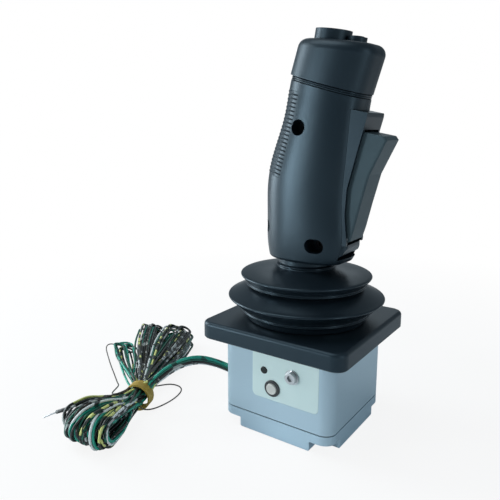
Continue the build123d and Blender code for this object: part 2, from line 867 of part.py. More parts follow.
def grip_body(inset, first_z):
    """Handle form, upright below and leaning forward above, drawn in by the inset."""
    with BuildPart() as body:
        for z, centre, rear, front, half_width, squareness, lean in grip_sections:
            angle = radians(lean)
            level = max(z, first_z)
            plane = Plane(
                origin=(centre, 0, level),
                x_dir=(cos(angle), 0, -sin(angle)),
                z_dir=(sin(angle), 0, cos(angle)),
            )
            with BuildSketch(plane):
                with BuildLine():
                    reach = (rear - inset, front - inset, half_width - inset)
                    Spline(*oval_points(*reach, squareness), periodic=True)
                make_face()
        loft()
        fillet(body.faces().sort_by(Axis.Z)[0].edges(), grip_bottom_edge)
    return body.part


def trigger_pocket(gap):
    """Side view of the trigger frame grown by a gap and open to the front."""
    beyond = 70.0
    ledge = [(x, z + gap) for x, z in frame_outline[:3]]
    back = [(x - gap, z) for x, z in frame_outline[12:]]
    foot_z = frame_outline[11][1] - gap
    return [*ledge, (beyond, ledge[2][1]), (beyond, foot_z), (web_low_x - gap, foot_z), *back]


set_angle = radians(set_screw_turn)
set_out = (cos(set_angle), sin(set_angle), 0)


def set_screw_plane(distance):
    """Plane square to the set screw, at a distance from the rod's axis."""
    origin = (distance * set_out[0], distance * set_out[1], set_screw_z)
    return Plane(origin=origin, x_dir=(0, 0, 1), z_dir=set_out)


grip_outer = grip_body(0.0, 0.0)
grip_cavity = grip_body(grip_wall, grip_bottom + grip_floor)

# Screw bosses, cut to the handle's own surface
with BuildPart() as bosses:
    with BuildSketch(Plane.XZ.offset(-20)):
        with Locations(upper_well, lower_well):
            Circle(boss_radius)
    extrude(amount=40)
    with BuildSketch(Plane.XZ.offset(screw_well_depth)):
        with Locations(upper_well, lower_well):
            Circle(screw_well_radius + grip_wall)
    extrude(amount=20)
    with BuildSketch(set_screw_plane(12.8)):
        Circle(set_screw_well + 1.6)
    extrude(amount=30)
    add(grip_outer, mode=Mode.INTERSECT)

with BuildPart() as grip_whole:
    add(grip_outer)
    add(grip_cavity, mode=Mode.SUBTRACT)
    add(bosses.part)
    with BuildSketch(Plane.XY.offset(grip_bottom)):
        Circle(adapter_radius + 0.15)
    extrude(amount=adapter_height + 1.0, mode=Mode.SUBTRACT)
    with BuildSketch(set_screw_plane(set_screw_floor)):
        Circle(set_screw_well)
    extrude(amount=30, mode=Mode.SUBTRACT)
    with BuildSketch(set_screw_plane(adapter_radius)):
        Circle(set_screw_radius + running_gap)
    extrude(amount=10, mode=Mode.SUBTRACT)
    with BuildSketch(Plane.XZ.offset(-frame_half_width - 0.15)):
        with BuildLine():
            Polyline(*trigger_pocket(0.2), close=True)
        make_face()
    extrude(amount=2 * frame_half_width + 0.3, mode=Mode.SUBTRACT)

with BuildPart() as grip_shell_right:
    add(grip_whole.part)
    split(bisect_by=Plane.XZ, keep=Keep.TOP)
    with BuildSketch(Plane.XZ.offset(screw_well_depth)):
        with Locations(upper_well):
            Circle(screw_well_radius)
        with Locations(lower_well):
            SlotOverall(2 * screw_well_radius + 2.6, 2 * screw_well_radius - 0.8)
    extrude(amount=50, mode=Mode.SUBTRACT)
    with BuildSketch(Plane.XZ):
        with Locations(upper_well, lower_well):
            Circle(shell_screw_radius + hole_gap)
    extrude(amount=screw_well_depth, mode=Mode.SUBTRACT)
save(grip_shell_right.part, "grip_shell_right")

with BuildPart() as grip_shell_left:
    add(grip_whole.part)
    split(bisect_by=Plane.XZ, keep=Keep.BOTTOM)
    with BuildSketch(Plane.XZ):
        with Locations(upper_well, lower_well):
            Circle(shell_screw_radius + running_gap)
    extrude(amount=-12.0, mode=Mode.SUBTRACT)
save(grip_shell_left.part, "grip_shell_left")

with BuildPart() as shell_screws:
    with BuildSketch(Plane.XZ.offset(screw_well_depth)):
        with Locations(upper_well, lower_well):
            Circle(shell_screw_head)
    extrude(amount=2.6)
    with BuildSketch(Plane.XZ.offset(screw_well_depth)):
        with Locations(upper_well, lower_well):
            Circle(shell_screw_radius)
    extrude(amount=-(screw_well_depth + 10.0))
    with BuildSketch(Plane.XZ.offset(screw_well_depth + 2.6)):
        with Locations(upper_well, lower_well):
            RegularPolygon(1.5, 6)
    extrude(amount=-1.6, mode=Mode.SUBTRACT)
save(shell_screws.part, "shell_screws")

with BuildPart() as set_screw:
    with BuildSketch(set_screw_plane(adapter_radius + running_gap)):
        Circle(set_screw_radius)
    extrude(amount=set_screw_floor - adapter_radius)
    with BuildSketch(set_screw_plane(set_screw_floor + running_gap)):
        Circle(set_screw_head)
    extrude(amount=2.4)
save(set_screw.part, "set_screw")

# Trigger frame: hood, two cheeks, lip and a web behind the paddle
with BuildPart() as trigger_frame:
    with BuildSketch(Plane.XZ.offset(-frame_half_width)):
        with BuildLine():
            Polyline(*frame_outline, close=True)
        make_face()
    extrude(amount=2 * frame_half_width)
    with BuildSketch(Plane.XZ.offset(-channel_half)):
        with BuildLine():
            Polyline(
                (web_low_x + web_thickness, lip_top_z),
                (web_low_x + web_thickness, web_step_z),
                (web_x + web_thickness, frame_outline[13][1]),
                (web_x + web_thickness, frame_outline[14][1]),
                (frame_outline[15][0] + 1.4 * web_thickness, hood_z),
                (2 * frame_outline[5][0], hood_z),
                (2 * frame_outline[5][0], lip_top_z),
                close=True,
            )
        make_face()
    extrude(amount=2 * channel_half, mode=Mode.SUBTRACT)
    with BuildSketch(Plane.XZ.offset(-frame_half_width + pin_cover)):
        with Locations(trigger_pivot):
            Circle(trigger_pin_radius + 0.02)
    extrude(amount=2 * (frame_half_width - pin_cover), mode=Mode.SUBTRACT)
    with BuildSketch(Plane.YZ.offset(web_x)):
        with Locations((0, switch_z)):
            Rectangle(6.0, 9.0)
    extrude(amount=web_thickness, mode=Mode.SUBTRACT)
    with BuildSketch(Plane.XY.offset(lip_top_z)):
        with Locations((lip_front, 0)):
            Rectangle(4 * lip_corner, 2 * frame_half_width + 1)
        with Locations((lip_front - 2 * lip_corner, 0)):
            RectangleRounded(
                4 * lip_corner, 2 * frame_half_width, lip_corner, mode=Mode.SUBTRACT
            )
    extrude(amount=-(lip_top_z - grip_bottom), mode=Mode.SUBTRACT)
    outer_edges = trigger_frame.edges().filter_by(GeomType.LINE).group_by(Axis.X)[-1]
    fillet(outer_edges, 0.8)
save(trigger_frame.part, "trigger_frame")

with BuildPart() as trigger_pin:
    with BuildSketch(Plane.XZ.offset(-frame_half_width + pin_cover + running_gap)):
        with Locations(trigger_pivot):
            Circle(trigger_pin_radius)
    extrude(amount=2 * (frame_half_width - pin_cover - running_gap))
save(trigger_pin.part, "trigger_pin")

# Paddle: a hollow lever on a pin low in the frame
with BuildPart() as paddle:
    with BuildSketch(Plane.XZ.offset(-paddle_half_width)):
        with BuildLine():
            Polyline(*paddle_outline, close=True)
        make_face()
    extrude(amount=2 * paddle_half_width)
    front_edges = paddle.edges().filter_by(
        lambda edge: abs(edge.center().Y) > paddle_half_width - 0.1 and edge.center().X > 38.5
    )
    fillet(front_edges.filter_by(lambda edge: edge.center().Z < 211.0), 1.4)
    with BuildSketch(Plane.XZ.offset(-paddle_half_width + paddle_wall)):
        with BuildLine():
            Polyline(
                (40.0, 211.8),
                (57.0, 209.2),
                (47.2, 187.0),
                (42.0, 166.5),
                (38.0, 151.0),
                (30.0, 151.0),
                (28.0, 176.0),
                (34.0, 202.0),
                close=True,
            )
        make_face()
    extrude(amount=2 * (paddle_half_width - paddle_wall), mode=Mode.SUBTRACT)
    with BuildSketch(Plane.XZ.offset(-1.6)):
        with Locations((42.0 - rib_length / 2, switch_z - 0.5)):
            Rectangle(rib_length, 4.0)
    extrude(amount=3.2)
    with BuildSketch(Plane.XZ.offset(-paddle_half_width)):
        with Locations(trigger_pivot):
            Circle(trigger_pin_radius + running_gap)
    extrude(amount=2 * paddle_half_width, mode=Mode.SUBTRACT)
save(paddle.part, "paddle")

# Return spring and the switch that the paddle's rib presses
with BuildPart() as trigger_spring:
    with BuildLine():
        coil_line = Helix(3.5, 17.6, 3.2, center=(27.2, 0, spring_z), direction=(1, 0, 0))
    with BuildSketch(Plane(origin=coil_line @ 0, z_dir=coil_line % 0)):
        Circle(0.5)
    sweep()
save(trigger_spring.part, "trigger_spring")

with BuildPart() as trigger_switch:
    with BuildSketch(Plane.YZ.offset(web_x - seat_gap)):
        with Locations((0, switch_z)):
            Rectangle(6.4, 20.0)
    extrude(amount=-9.5)
    with BuildSketch(Plane.YZ.offset(web_x - seat_gap)):
        with Locations((0, switch_z)):
            Circle(1.4)
    extrude(amount=0.9)
save(trigger_switch.part, "trigger_switch")

# Spacer ring between the handle and the head
with BuildPart() as head_ring:
    for inset, mode in ((head_ring_inset, Mode.ADD), (5.0, Mode.SUBTRACT)):
        with BuildSketch(ring_plane()):
            with BuildLine():
                z, centre, rear, front, half_width, squareness, lean = grip_sections[-1]
                reach = (rear - inset, front - inset, half_width - inset)
                Spline(*oval_points(*reach, squareness), periodic=True)
            make_face()
        extrude(amount=head_ring_thickness, mode=mode)
save(head_ring.part, "head_ring")


def cap_prism(inset, rise, length):
    """Straight prism of the cap's outline, along the handle's axis."""
    reach = cap_half_length - inset
    with BuildPart() as prism:
        with BuildSketch(ring_plane(rise)):
            with BuildLine():
                outline = oval_points(reach, reach, cap_half_width - inset, cap_squareness)
                Spline(*outline, periodic=True)
            make_face()
        extrude(amount=length)
    return prism.part


# Head cap: a straight hollow hood cut off by a sloping top
with BuildPart() as cap_space:
    add(cap_prism(cap_wall, head_ring_thickness, cap_reach))
    split(bisect_by=cap_plane(thumb_x, -cap_wall), keep=Keep.BOTTOM)

with BuildPart() as head_cap:
    add(cap_prism(0.0, head_ring_thickness, cap_reach))
    split(bisect_by=cap_plane(thumb_x), keep=Keep.BOTTOM)
    fillet(head_cap.faces().sort_by(Axis.Z)[-1].edges(), cap_edge)
    add(cap_space.part, mode=Mode.SUBTRACT)
    for x, radius, height, bore in (
        (thumb_x, thumb_collar_radius, thumb_collar_height, thumb_bore),
        (fire_x, fire_collar_radius, fire_collar_height, fire_bore),
    ):
        with BuildSketch(cap_plane(x, -cap_wall)):
            Circle(radius)
        extrude(amount=height + cap_wall)
    for x, radius, height, bore in (
        (thumb_x, thumb_collar_radius, thumb_collar_height, thumb_bore),
        (fire_x, fire_collar_radius, fire_collar_height, fire_bore),
    ):
        with BuildSketch(cap_plane(x, -cap_wall - 1)):
            Circle(bore)
        extrude(amount=height + cap_wall + 2, mode=Mode.SUBTRACT)
save(head_cap.part, "head_cap")


def head_button(x, radius, top):
    """Round button with a retaining rim under the cap's wall."""
    with BuildPart() as button:
        with BuildSketch(cap_plane(x, -cap_wall - seat_gap)):
            Circle(radius)
        extrude(amount=cap_wall + seat_gap + top)
        fillet(button.faces().sort_by(Axis.Z)[-1].edges(), 0.8)
        with BuildSketch(cap_plane(x, -cap_wall - seat_gap)):
            Circle(radius + button_rim)
        extrude(amount=-button_rim_height)
    return button.part


def switch_top(travel):
    """Level of a head switch's body, below the cap's top, for its button's travel."""
    return -cap_wall - 2 * seat_gap - button_rim_height - travel - head_plunger


def head_switch(x, side, travel):
    """Square switch body with a plunger that the button presses."""
    with BuildPart() as body:
        with BuildSketch(cap_plane(x, switch_top(travel))):
            Rectangle(side, side)
        extrude(amount=-head_switch_height)
        with BuildSketch(cap_plane(x, switch_top(travel))):
            Circle(side / 4)
        extrude(amount=head_plunger)
    return body.part


save(head_button(thumb_x, thumb_button_radius, thumb_collar_height - thumb_button_recess), "thumb_button")
save(head_button(fire_x, fire_button_radius, fire_collar_height + 0.6), "fire_button")
save(head_switch(thumb_x, thumb_switch_side, thumb_travel), "thumb_switch")
save(head_switch(fire_x, fire_switch_side, fire_travel), "fire_switch")

# Bracket across the head that carries both switches
with BuildPart() as switch_bracket:
    add(cap_prism(cap_wall + 0.3, head_ring_thickness, 2.0))
    for x, side, travel in (
        (thumb_x, thumb_switch_side, thumb_travel),
        (fire_x, fire_switch_side, fire_travel),
    ):
        with BuildSketch(cap_plane(x, switch_top(travel) - head_switch_height)):
            Rectangle(side - 2, side - 2)
        extrude(amount=-cap_reach)
    split(bisect_by=ring_plane(head_ring_thickness), keep=Keep.TOP)
save(switch_bracket.part, "switch_bracket")

# Grommet in the housing's side
with BuildPart() as wire_grommet:
    with BuildSketch(Plane(origin=(wall_x, grommet_y, grommet_z), z_dir=(-1, 0, 0))):
        Circle(grommet_radius)
    extrude(amount=grommet_proud, taper=20)
    with BuildSketch(Plane(origin=(wall_x, grommet_y, grommet_z), z_dir=(-1, 0, 0))):
        Circle(grommet_radius - grommet_lip)
    extrude(amount=-housing_wall)
    with BuildSketch(Plane(origin=(wall_x + housing_wall, grommet_y, grommet_z), z_dir=(-1, 0, 0))):
        Circle(grommet_radius - 0.4)
    extrude(amount=-2.0)
save(wire_grommet.part, "wire_grommet")


def corner_radii(points):
    """Radius at each corner: 0.45 of the shorter run over tan half turn."""
    radii = []
    corners = [Vector(*point) for point in points]
    for before, here, after in zip(corners, corners[1:], corners[2:]):
        turn = radians((here - before).get_angle(after - here))
        shorter = min((here - before).length, (after - here).length)
        radii.append(0.45 * shorter / tan(turn / 2))
    return radii


def route_tube(route, radius, label):
    """Tube along straight runs joined by tangent arcs."""
    radii = corner_radii(route)
    with BuildPart() as tube:
        with BuildLine() as line:
            FilletPolyline(*route, radius=radii)
        with BuildSketch(Plane(origin=line.line @ 0, z_dir=line.line % 0)):
            Circle(radius)
        sweep()
    length = sum(edge.length for edge in line.line.edges())
    share = tube.part.volume / (pi * radius**2 * length)
    print(label, "radii", [round(value, 1) for value in radii])
    print(label, "length", round(length, 1), "volume share", round(share, 4))
    return tube.part


lead_route = [
    (wall_x - grommet_proud, grommet_y, grommet_z),
    (-57.5, grommet_y, grommet_z),
    (-70.0, -11.5, 27.0),
    (-82.0, -26.0, 34.0),
    (-91.0, -42.5, 32.5),
    (-97.5, -54.0, 25.0),
    (-103.5, -59.0, 15.5),
]
save(route_tube(lead_route, lead_radius, "lead"), "wire_lead")


def hank_lobe(heading, length, half_width, height):
    """Rounded petal that widens from the waist to its far end."""
    along = Vector(1, 0, 0).rotate(Axis.Z, heading)
    plane = Plane(origin=(*tie_centre, 0), x_dir=along, z_dir=(0, 0, 1))
    with BuildPart() as lobe:
        with BuildSketch(plane):
            with Locations((lobe_start + lobe_neck, 0)):
                Circle(lobe_neck)
            with Locations((length - half_width, 0)):
                Circle(half_width)
            make_hull()
        extrude(amount=height)
        chamfer(lobe.faces().sort_by(Axis.Z)[-1].edges(), lobe_top_edge)
        chamfer(lobe.faces().sort_by(Axis.Z)[0].edges(), lobe_foot_edge)
    return lobe.part


# Hank: loops spread from a round waist, lying on the floor
tie_along = Vector(1, 0, 0).rotate(Axis.Z, tie_heading)
tie_point = Vector(*tie_centre, tie_height)
with BuildPart() as wire_hank:
    with BuildSketch(Plane(origin=tie_point - tie_along * waist_length / 2, z_dir=tie_along)):
        Circle(hank_waist)
    extrude(amount=waist_length)
    for lobe_row in hank_lobes:
        add(hank_lobe(*lobe_row))
save(wire_hank.part, "wire_hank")

with BuildPart() as wire_tie:
    with BuildSketch(Plane(origin=tie_point - tie_along * tie_width / 2, z_dir=tie_along)):
        Circle(tie_inner + tie_wall)
        Circle(tie_inner, mode=Mode.SUBTRACT)
    extrude(amount=tie_width)
save(wire_tie.part, "wire_tie")

# One wire end that sticks out of the hank, with its sleeve and bare tip
tail_route = [(-119.0, -110.5, 8.0), (-130.0, -114.5, 7.0), (-139.0, -121.0, 5.8)]
save(route_tube(tail_route, tail_radius, "tail"), "wire_tail")

tail_way = (Vector(*tail_route[-1]) - Vector(*tail_route[-2])).normalized()
with BuildPart() as wire_sleeve:
    with BuildSketch(Plane(origin=tail_route[-1], z_dir=tail_way)):
        Circle(sleeve_radius)
    extrude(amount=sleeve_length)
    chamfer(wire_sleeve.edges(), 0.4)
    with BuildSketch(Plane(origin=tail_route[-1], z_dir=tail_way)):
        Circle(tip_radius)
    extrude(amount=sleeve_length + tip_length)
save(wire_sleeve.part, "wire_sleeve")

print(len(made), "pieces")
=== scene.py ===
import json
import bpy
import numpy as np
from mathutils import Matrix, Vector
from mathutils.bvhtree import BVHTree

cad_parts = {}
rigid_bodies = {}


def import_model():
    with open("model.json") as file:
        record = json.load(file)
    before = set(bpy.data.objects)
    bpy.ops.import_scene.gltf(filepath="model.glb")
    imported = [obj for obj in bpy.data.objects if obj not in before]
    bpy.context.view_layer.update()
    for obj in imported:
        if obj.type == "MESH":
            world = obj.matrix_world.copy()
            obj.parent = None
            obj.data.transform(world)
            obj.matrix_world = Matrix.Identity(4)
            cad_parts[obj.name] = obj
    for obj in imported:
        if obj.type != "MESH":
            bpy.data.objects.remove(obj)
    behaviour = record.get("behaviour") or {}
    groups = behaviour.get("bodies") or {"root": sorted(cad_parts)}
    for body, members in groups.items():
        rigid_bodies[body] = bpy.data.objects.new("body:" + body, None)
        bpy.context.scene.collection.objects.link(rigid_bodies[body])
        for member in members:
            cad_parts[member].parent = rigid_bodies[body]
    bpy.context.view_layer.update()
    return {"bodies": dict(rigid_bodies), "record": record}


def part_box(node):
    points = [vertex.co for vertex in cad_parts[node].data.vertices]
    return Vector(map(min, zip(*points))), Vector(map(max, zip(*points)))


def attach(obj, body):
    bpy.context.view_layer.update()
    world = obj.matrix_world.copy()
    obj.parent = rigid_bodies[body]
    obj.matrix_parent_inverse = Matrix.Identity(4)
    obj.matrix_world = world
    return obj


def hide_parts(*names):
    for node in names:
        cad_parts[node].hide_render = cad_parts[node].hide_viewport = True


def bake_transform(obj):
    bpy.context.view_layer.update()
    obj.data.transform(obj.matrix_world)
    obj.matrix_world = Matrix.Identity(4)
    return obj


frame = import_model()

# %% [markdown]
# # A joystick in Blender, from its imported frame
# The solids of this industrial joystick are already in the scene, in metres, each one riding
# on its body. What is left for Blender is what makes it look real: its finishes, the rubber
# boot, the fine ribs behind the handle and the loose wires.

print("bodies:", ", ".join(frame["bodies"]))

# %% [markdown]
# The photograph was taken a little above the flange and a little under the head, from the
# front right corner. Its lines meet where a 39.5 mm lens on a 36 mm sensor puts them.
# The eye stays outside the crop's centre, so the lens gets a small shift.

# %% Camera
eye = np.array([0.18516, -0.35237, 0.21665])
yaw, pitch, roll = 0.6539, 0.18428, -0.01
forward = np.array([-np.sin(yaw) * np.cos(pitch), np.cos(yaw) * np.cos(pitch), -np.sin(pitch)])
level_right = np.array([np.cos(yaw), np.sin(yaw), 0.0])
level_up = np.cross(level_right, forward)
right = np.cos(roll) * level_right + np.sin(roll) * level_up
up = -np.sin(roll) * level_right + np.cos(roll) * level_up

camera_data = bpy.data.cameras.new("camera")
camera_data.lens = 39.52
camera_data.sensor_width = 36.0
camera_data.shift_x = 0.0724
camera_data.shift_y = -0.0346
camera_data.clip_start = 0.01
camera = bpy.data.objects.new("camera", camera_data)
turn = Matrix([list(right), list(up), list(-forward)]).transposed().to_4x4()
camera.matrix_world = Matrix.Translation(Vector(eye)) @ turn
bpy.context.scene.collection.objects.link(camera)
bpy.context.scene.camera = camera
print("camera at", eye.round(3), "looking along", forward.round(3))

# %% [markdown]
# A shader is a formula, so it reads best as one. The class below wraps a socket: `a * b + c`
# adds Math nodes, and `make` adds any other node, with its settings first and then the values
# or links of its sockets.

# %% Shader sums
class Socket:
    """An output socket that can be added, multiplied and compared."""

    def __init__(self, shader, socket):
        self.shader = shader
        self.socket = socket

    def sum(self, operation, *values):
        return self.shader.make("ShaderNodeMath", {"operation": operation}, *values)

    def __add__(self, other):
        return self.sum("ADD", self, other)

    def __sub__(self, other):
        return self.sum("SUBTRACT", self, other)

    def __rsub__(self, other):
        return self.sum("SUBTRACT", other, self)

    def __mul__(self, other):
        return self.sum("MULTIPLY", self, other)

    def __gt__(self, other):
        return self.sum("GREATER_THAN", self, other)

    def __lt__(self, other):
        return self.sum("LESS_THAN", self, other)

    __radd__ = __add__
    __rmul__ = __mul__


class Shader:
    """One material: its Principled node and the nodes that feed it."""

    def __init__(self, name, color, roughness, **sockets):
        self.material = bpy.data.materials.new(name)
        self.material.use_nodes = True
        self.tree = self.material.node_tree
        self.principled = self.tree.nodes["Principled BSDF"]
        self.set("Base Color", color)
        self.set("Roughness", roughness)
        for socket, value in sockets.items():
            self.set(socket.replace("_", " "), value)

    def set(self, name, value):
        self.join(self.principled.inputs[name], value)

    def join(self, target, value):
        if isinstance(value, Socket):
            self.tree.links.new(value.socket, target)
        elif isinstance(value, tuple) and len(value) == 3 and target.type == "RGBA":
            target.default_value = (*value, 1.0)
        else:
            target.default_value = value

    def make(self, kind, settings, *values, output=0, **sockets):
        node = self.tree.nodes.new(kind)
        for key, value in settings.items():
            setattr(node, key, value)
        for index, value in enumerate(values):
            self.join(node.inputs[index], value)
        for key, value in sockets.items():
            self.join(node.inputs[key.replace("_", " ")], value)
        return Socket(self, node.outputs[output])

    def place(self, output=3):
        """Object coordinates, in metres in the frame."""
        return self.make("ShaderNodeTexCoord", {}, output=output)

    def axes(self):
        parts = self.make("ShaderNodeSeparateXYZ", {}, self.place())
        outputs = parts.socket.node.outputs
        return [Socket(self, outputs[index]) for index in range(3)]

    def noise(self, scale, detail=2.0, rough=0.5, at=None):
        return self.make("ShaderNodeTexNoise", {}, Vector=at or self.place(), Scale=scale,
                         Detail=detail, Roughness=rough)

    def blend_colors(self, factor, first, second):
        mix = self.make("ShaderNodeMix", {"data_type": "RGBA"}, output=2)
        inputs = mix.socket.node.inputs
        self.join(inputs[0], factor)
        self.join(inputs[6], first)
        self.join(inputs[7], second)
        return mix

    def ramp(self, value, low, high):
        """Straight line from 0 at low to 1 at high, held at both ends."""
        return self.make("ShaderNodeMapRange", {"clamp": True}, value, low, high, 0.0, 1.0)

    def bump(self, height, distance, strength=1.0):
        normal = self.make("ShaderNodeBump", {}, Height=height, Distance=distance, Strength=strength)
        self.set("Normal", normal)
        return normal


# %% [markdown]
# ## Finishes
# The handle, the head and the flange are moulded nylon with a very fine spark texture. Under a
# soft light it reads as a dark grey-blue satin. Large noise moves the roughness a little, as
# handling does, and a fine noise gives the texture its height, a few hundredths of a
# millimetre.

# %% Moulded plastic
def moulded(name, color, roughness, grain=2600.0, height=0.00002, tint=0.12, sheen=(1.0, 1.0, 1.0), shine=0.5):
    shader = Shader(name, color, roughness, Specular_Tint=sheen, Specular_IOR_Level=shine)
    cloud = shader.noise(28.0, 3.0)
    lighter = tuple(min(1.0, channel * (1 + tint) + 0.002) for channel in color)
    darker = tuple(channel * (1 - tint) for channel in color)
    shader.set("Base Color", shader.blend_colors(cloud, darker, lighter))
    shader.set("Roughness", cloud * 0.10 + (roughness - 0.05))
    shader.bump(shader.noise(grain, 2.0), height)
    return shader


cool = (0.60, 0.84, 1.0)
handle_plastic = moulded("handle_plastic", (0.006, 0.011, 0.016), 0.36, sheen=cool)
head_plastic = moulded("head_plastic", (0.006, 0.011, 0.016), 0.42, sheen=cool)
paddle_plastic = moulded("paddle_plastic", (0.056, 0.080, 0.090), 0.45, sheen=cool, shine=0.20)
flange_plastic = moulded("flange_plastic", (0.007, 0.013, 0.019), 0.40, grain=1800.0, sheen=cool)
black_plastic = moulded("black_plastic", (0.020, 0.022, 0.026), 0.45)
white_nylon = moulded("white_nylon", (0.70, 0.69, 0.64), 0.45)
ivory_cap = moulded("ivory_cap", (0.62, 0.60, 0.55), 0.30, height=0.000004)
print("moulded plastics: 7")

# %% [markdown]
# The handle's two shells meet in a fine groove behind, and each side of that seam carries a
# row of small grip ribs across the rear. The seam and a fine grain are a height for the Bump
# node. The grooves between the ribs are painted near black, as painted shade, and made rougher,
# by a wave along the leaning handle's length, held to the rear by where a point lies
# beside the handle's own axis, and to the upper part by how far up it lies.

# %% Seam and painted groove shade of the handle
def seam_bump_and_groove_shade(shader):
    """Seam bump, and painted shade in the grooves between ribs 2.65 mm apart; length = z cos 13 + x sin 13, across
    = x cos 13 - z sin 13.
    """
    x, y, z = shader.axes()
    lean = np.radians(13.0)
    along = z * float(np.cos(lean)) + x * float(np.sin(lean))
    across = x * float(np.cos(lean)) - z * float(np.sin(lean))
    wave = shader.make("ShaderNodeMath", {"operation": "SINE"}, along * (2 * np.pi / 0.00272))
    rear = shader.ramp(across, -0.0515, -0.0519) * (1 - 0.6 * shader.ramp(across, -0.0560, -0.0600))
    band = shader.ramp(along, 0.1762, 0.1766) * shader.ramp(along, 0.2358, 0.2354)
    seam_side = shader.make("ShaderNodeMath", {"operation": "ABSOLUTE"}, y)
    patch = rear * band * shader.ramp(seam_side, 0.0020, 0.0024)
    seam = shader.ramp(seam_side, 0.00035, 0.00015)
    grain = shader.noise(2600.0, 2.0)
    shader.bump(grain * 0.00002 - seam * 0.0004, 1.0)
    return shader.ramp(wave, 0.0, -0.6) * patch


shell_plastic = moulded("shell_plastic", (0.006, 0.011, 0.016), 0.36, sheen=cool)
for node in [n for n in shell_plastic.tree.nodes if n.type == "BUMP"]:
    shell_plastic.tree.nodes.remove(node)
groove_shade = seam_bump_and_groove_shade(shell_plastic)
# The grooves between the ribs are painted near black: painted shade.
shell_plastic.set("Base Color", shell_plastic.blend_colors(groove_shade, (0.006, 0.011, 0.016), (0.001, 0.001, 0.002)))
shell_plastic.set("Roughness", groove_shade * 0.5 + 0.36)
print("ribs over", round(0.0588 / 0.00265), "pitches")

# %% [markdown]
# Rubber is smoother than the nylon here, and its mould leaves a faint skin. It gets a broad
# gloss, so that the discs of the boot show long soft highlights.

# %% Rubber
boot_rubber = Shader("boot_rubber", (0.004, 0.007, 0.010), 0.34, Specular_Tint=cool)
skin = boot_rubber.noise(60.0, 4.0)
boot_rubber.set("Roughness", skin * 0.12 + 0.25)
boot_rubber.set("Base Color", boot_rubber.blend_colors(skin, (0.005, 0.009, 0.013), (0.009, 0.014, 0.019)))
boot_rubber.bump(boot_rubber.noise(900.0, 2.0), 0.00002)
seal_rubber = moulded("seal_rubber", (0.015, 0.017, 0.020), 0.6)
print("rubbers: 2")

# %% [markdown]
# The housing is cast metal under a satin silver paint with a blue cast. Paint shows a slight
# orange peel, a soft bump of about a millimetre across, and fine metal flake in its colour.

# %% Silver paint
def silver_paint(name, color):
    shader = Shader(name, color, 0.38, Metallic=0.35)
    flake = shader.noise(3200.0, 1.0)
    cloud = shader.noise(18.0, 3.0)
    dark = tuple(channel * 0.90 for channel in color)
    light = tuple(min(1.0, channel * 1.08) for channel in color)
    shader.set("Base Color", shader.blend_colors(flake * 0.6 + cloud * 0.4, dark, light))
    shader.set("Roughness", cloud * 0.12 + 0.32)
    shader.bump(shader.noise(700.0, 2.0), 0.00003)
    return shader


housing_paint = silver_paint("housing_paint", (0.46, 0.59, 0.67))
cover_paint = silver_paint("cover_paint", (0.47, 0.61, 0.70))
print("paints: 2")

# %% [markdown]
# Turned and stamped metal shows lines from its tool. Stretched noise, long along one axis, does
# for all of these small parts, and cast metal gets a round one instead.

# %% Metals
def metal(name, color, roughness, stretch=(1.0, 1.0, 12.0), height=0.00001):
    shader = Shader(name, color, roughness, Metallic=1.0)
    drawn = shader.make("ShaderNodeMapping", {}, Vector=shader.place(), Scale=stretch)
    lines = shader.noise(420.0, 3.0, at=drawn)
    shader.set("Roughness", lines * 0.2 + (roughness - 0.1))
    dark = tuple(channel * 0.82 for channel in color)
    shader.set("Base Color", shader.blend_colors(lines, dark, color))
    shader.bump(lines, height)
    return shader


steel = metal("steel", (0.62, 0.63, 0.64), 0.32)
black_steel = metal("black_steel", (0.020, 0.021, 0.023), 0.50)
die_cast = metal("die_cast", (0.52, 0.53, 0.55), 0.5, stretch=(1.0, 1.0, 1.0), height=0.00004)
# The button's bezel is a real metal ring; its near-black colour is painted shade, standing for the shadow ring
# round the cap.
bezel_shade_metal = metal("bezel_shade_metal", (0.09, 0.09, 0.09), 0.35)
bronze = metal("bronze", (0.55, 0.40, 0.22), 0.45, stretch=(1.0, 1.0, 1.0))
print("metals: 5")

# %% [markdown]
# The last finishes are the status light's dark lens, the board's solder mask and the paper
# covered wire that ties the hank.

# %% Lens, board and tie
dark_lens = Shader("dark_lens", (0.004, 0.007, 0.005), 0.25)
dark_lens.bump(dark_lens.noise(900.0, 1.0), 0.000004)
board_green = Shader("board_green", (0.03, 0.16, 0.08), 0.3)
tracks = board_green.make("ShaderNodeTexBrick", {}, Vector=board_green.place(), Scale=180.0,
                          Color1=(0.03, 0.20, 0.10), Color2=(0.02, 0.13, 0.07),
                          Mortar=(0.05, 0.26, 0.12))
board_green.set("Base Color", tracks)
board_green.bump(board_green.noise(700.0), 0.00001)

tie_paper = Shader("tie_paper", (0.42, 0.29, 0.08), 0.6)
fibre = tie_paper.noise(900.0, 3.0)
tie_paper.set("Base Color", tie_paper.blend_colors(fibre, (0.27, 0.17, 0.02), (0.54, 0.36, 0.06)))
tie_paper.bump(fibre, 0.00008)
print("small finishes: 3")

# %% [markdown]
# Every solid of the frame now gets its finish, by the material slot that the record names for
# it. The cover's paint is a shade darker than the housing's, as in the photograph.

# %% Finishes on the solids
by_slot = {
    "housing_paint": housing_paint, "black_plastic": black_plastic,
    "handle_plastic": handle_plastic, "paddle_plastic": paddle_plastic,
    "black_rubber": seal_rubber, "steel": steel, "black_steel": black_steel,
    "die_cast": die_cast, "bronze": bronze, "dark_lens": dark_lens,
    "button_ivory": ivory_cap, "board_green": board_green, "white_nylon": white_nylon,
    "wire_green": black_plastic, "wire_black": black_plastic, "tie_ochre": tie_paper,
}
own_finish = {
    "bottom_cover": cover_paint, "flange_bezel": flange_plastic, "bellows_boot": boot_rubber,
    "grip_shell_right": shell_plastic, "grip_shell_left": shell_plastic,
    "head_cap": head_plastic, "shell_screws": black_steel,
    "button_bezel": bezel_shade_metal, "thumb_button": head_plastic, "fire_button": head_plastic,
}
slot_of = {part["node"]: part["material_slot"] for part in frame["record"]["subparts"]}


def dress(obj, shader):
    obj.data.materials.clear()
    obj.data.materials.append(shader.material)


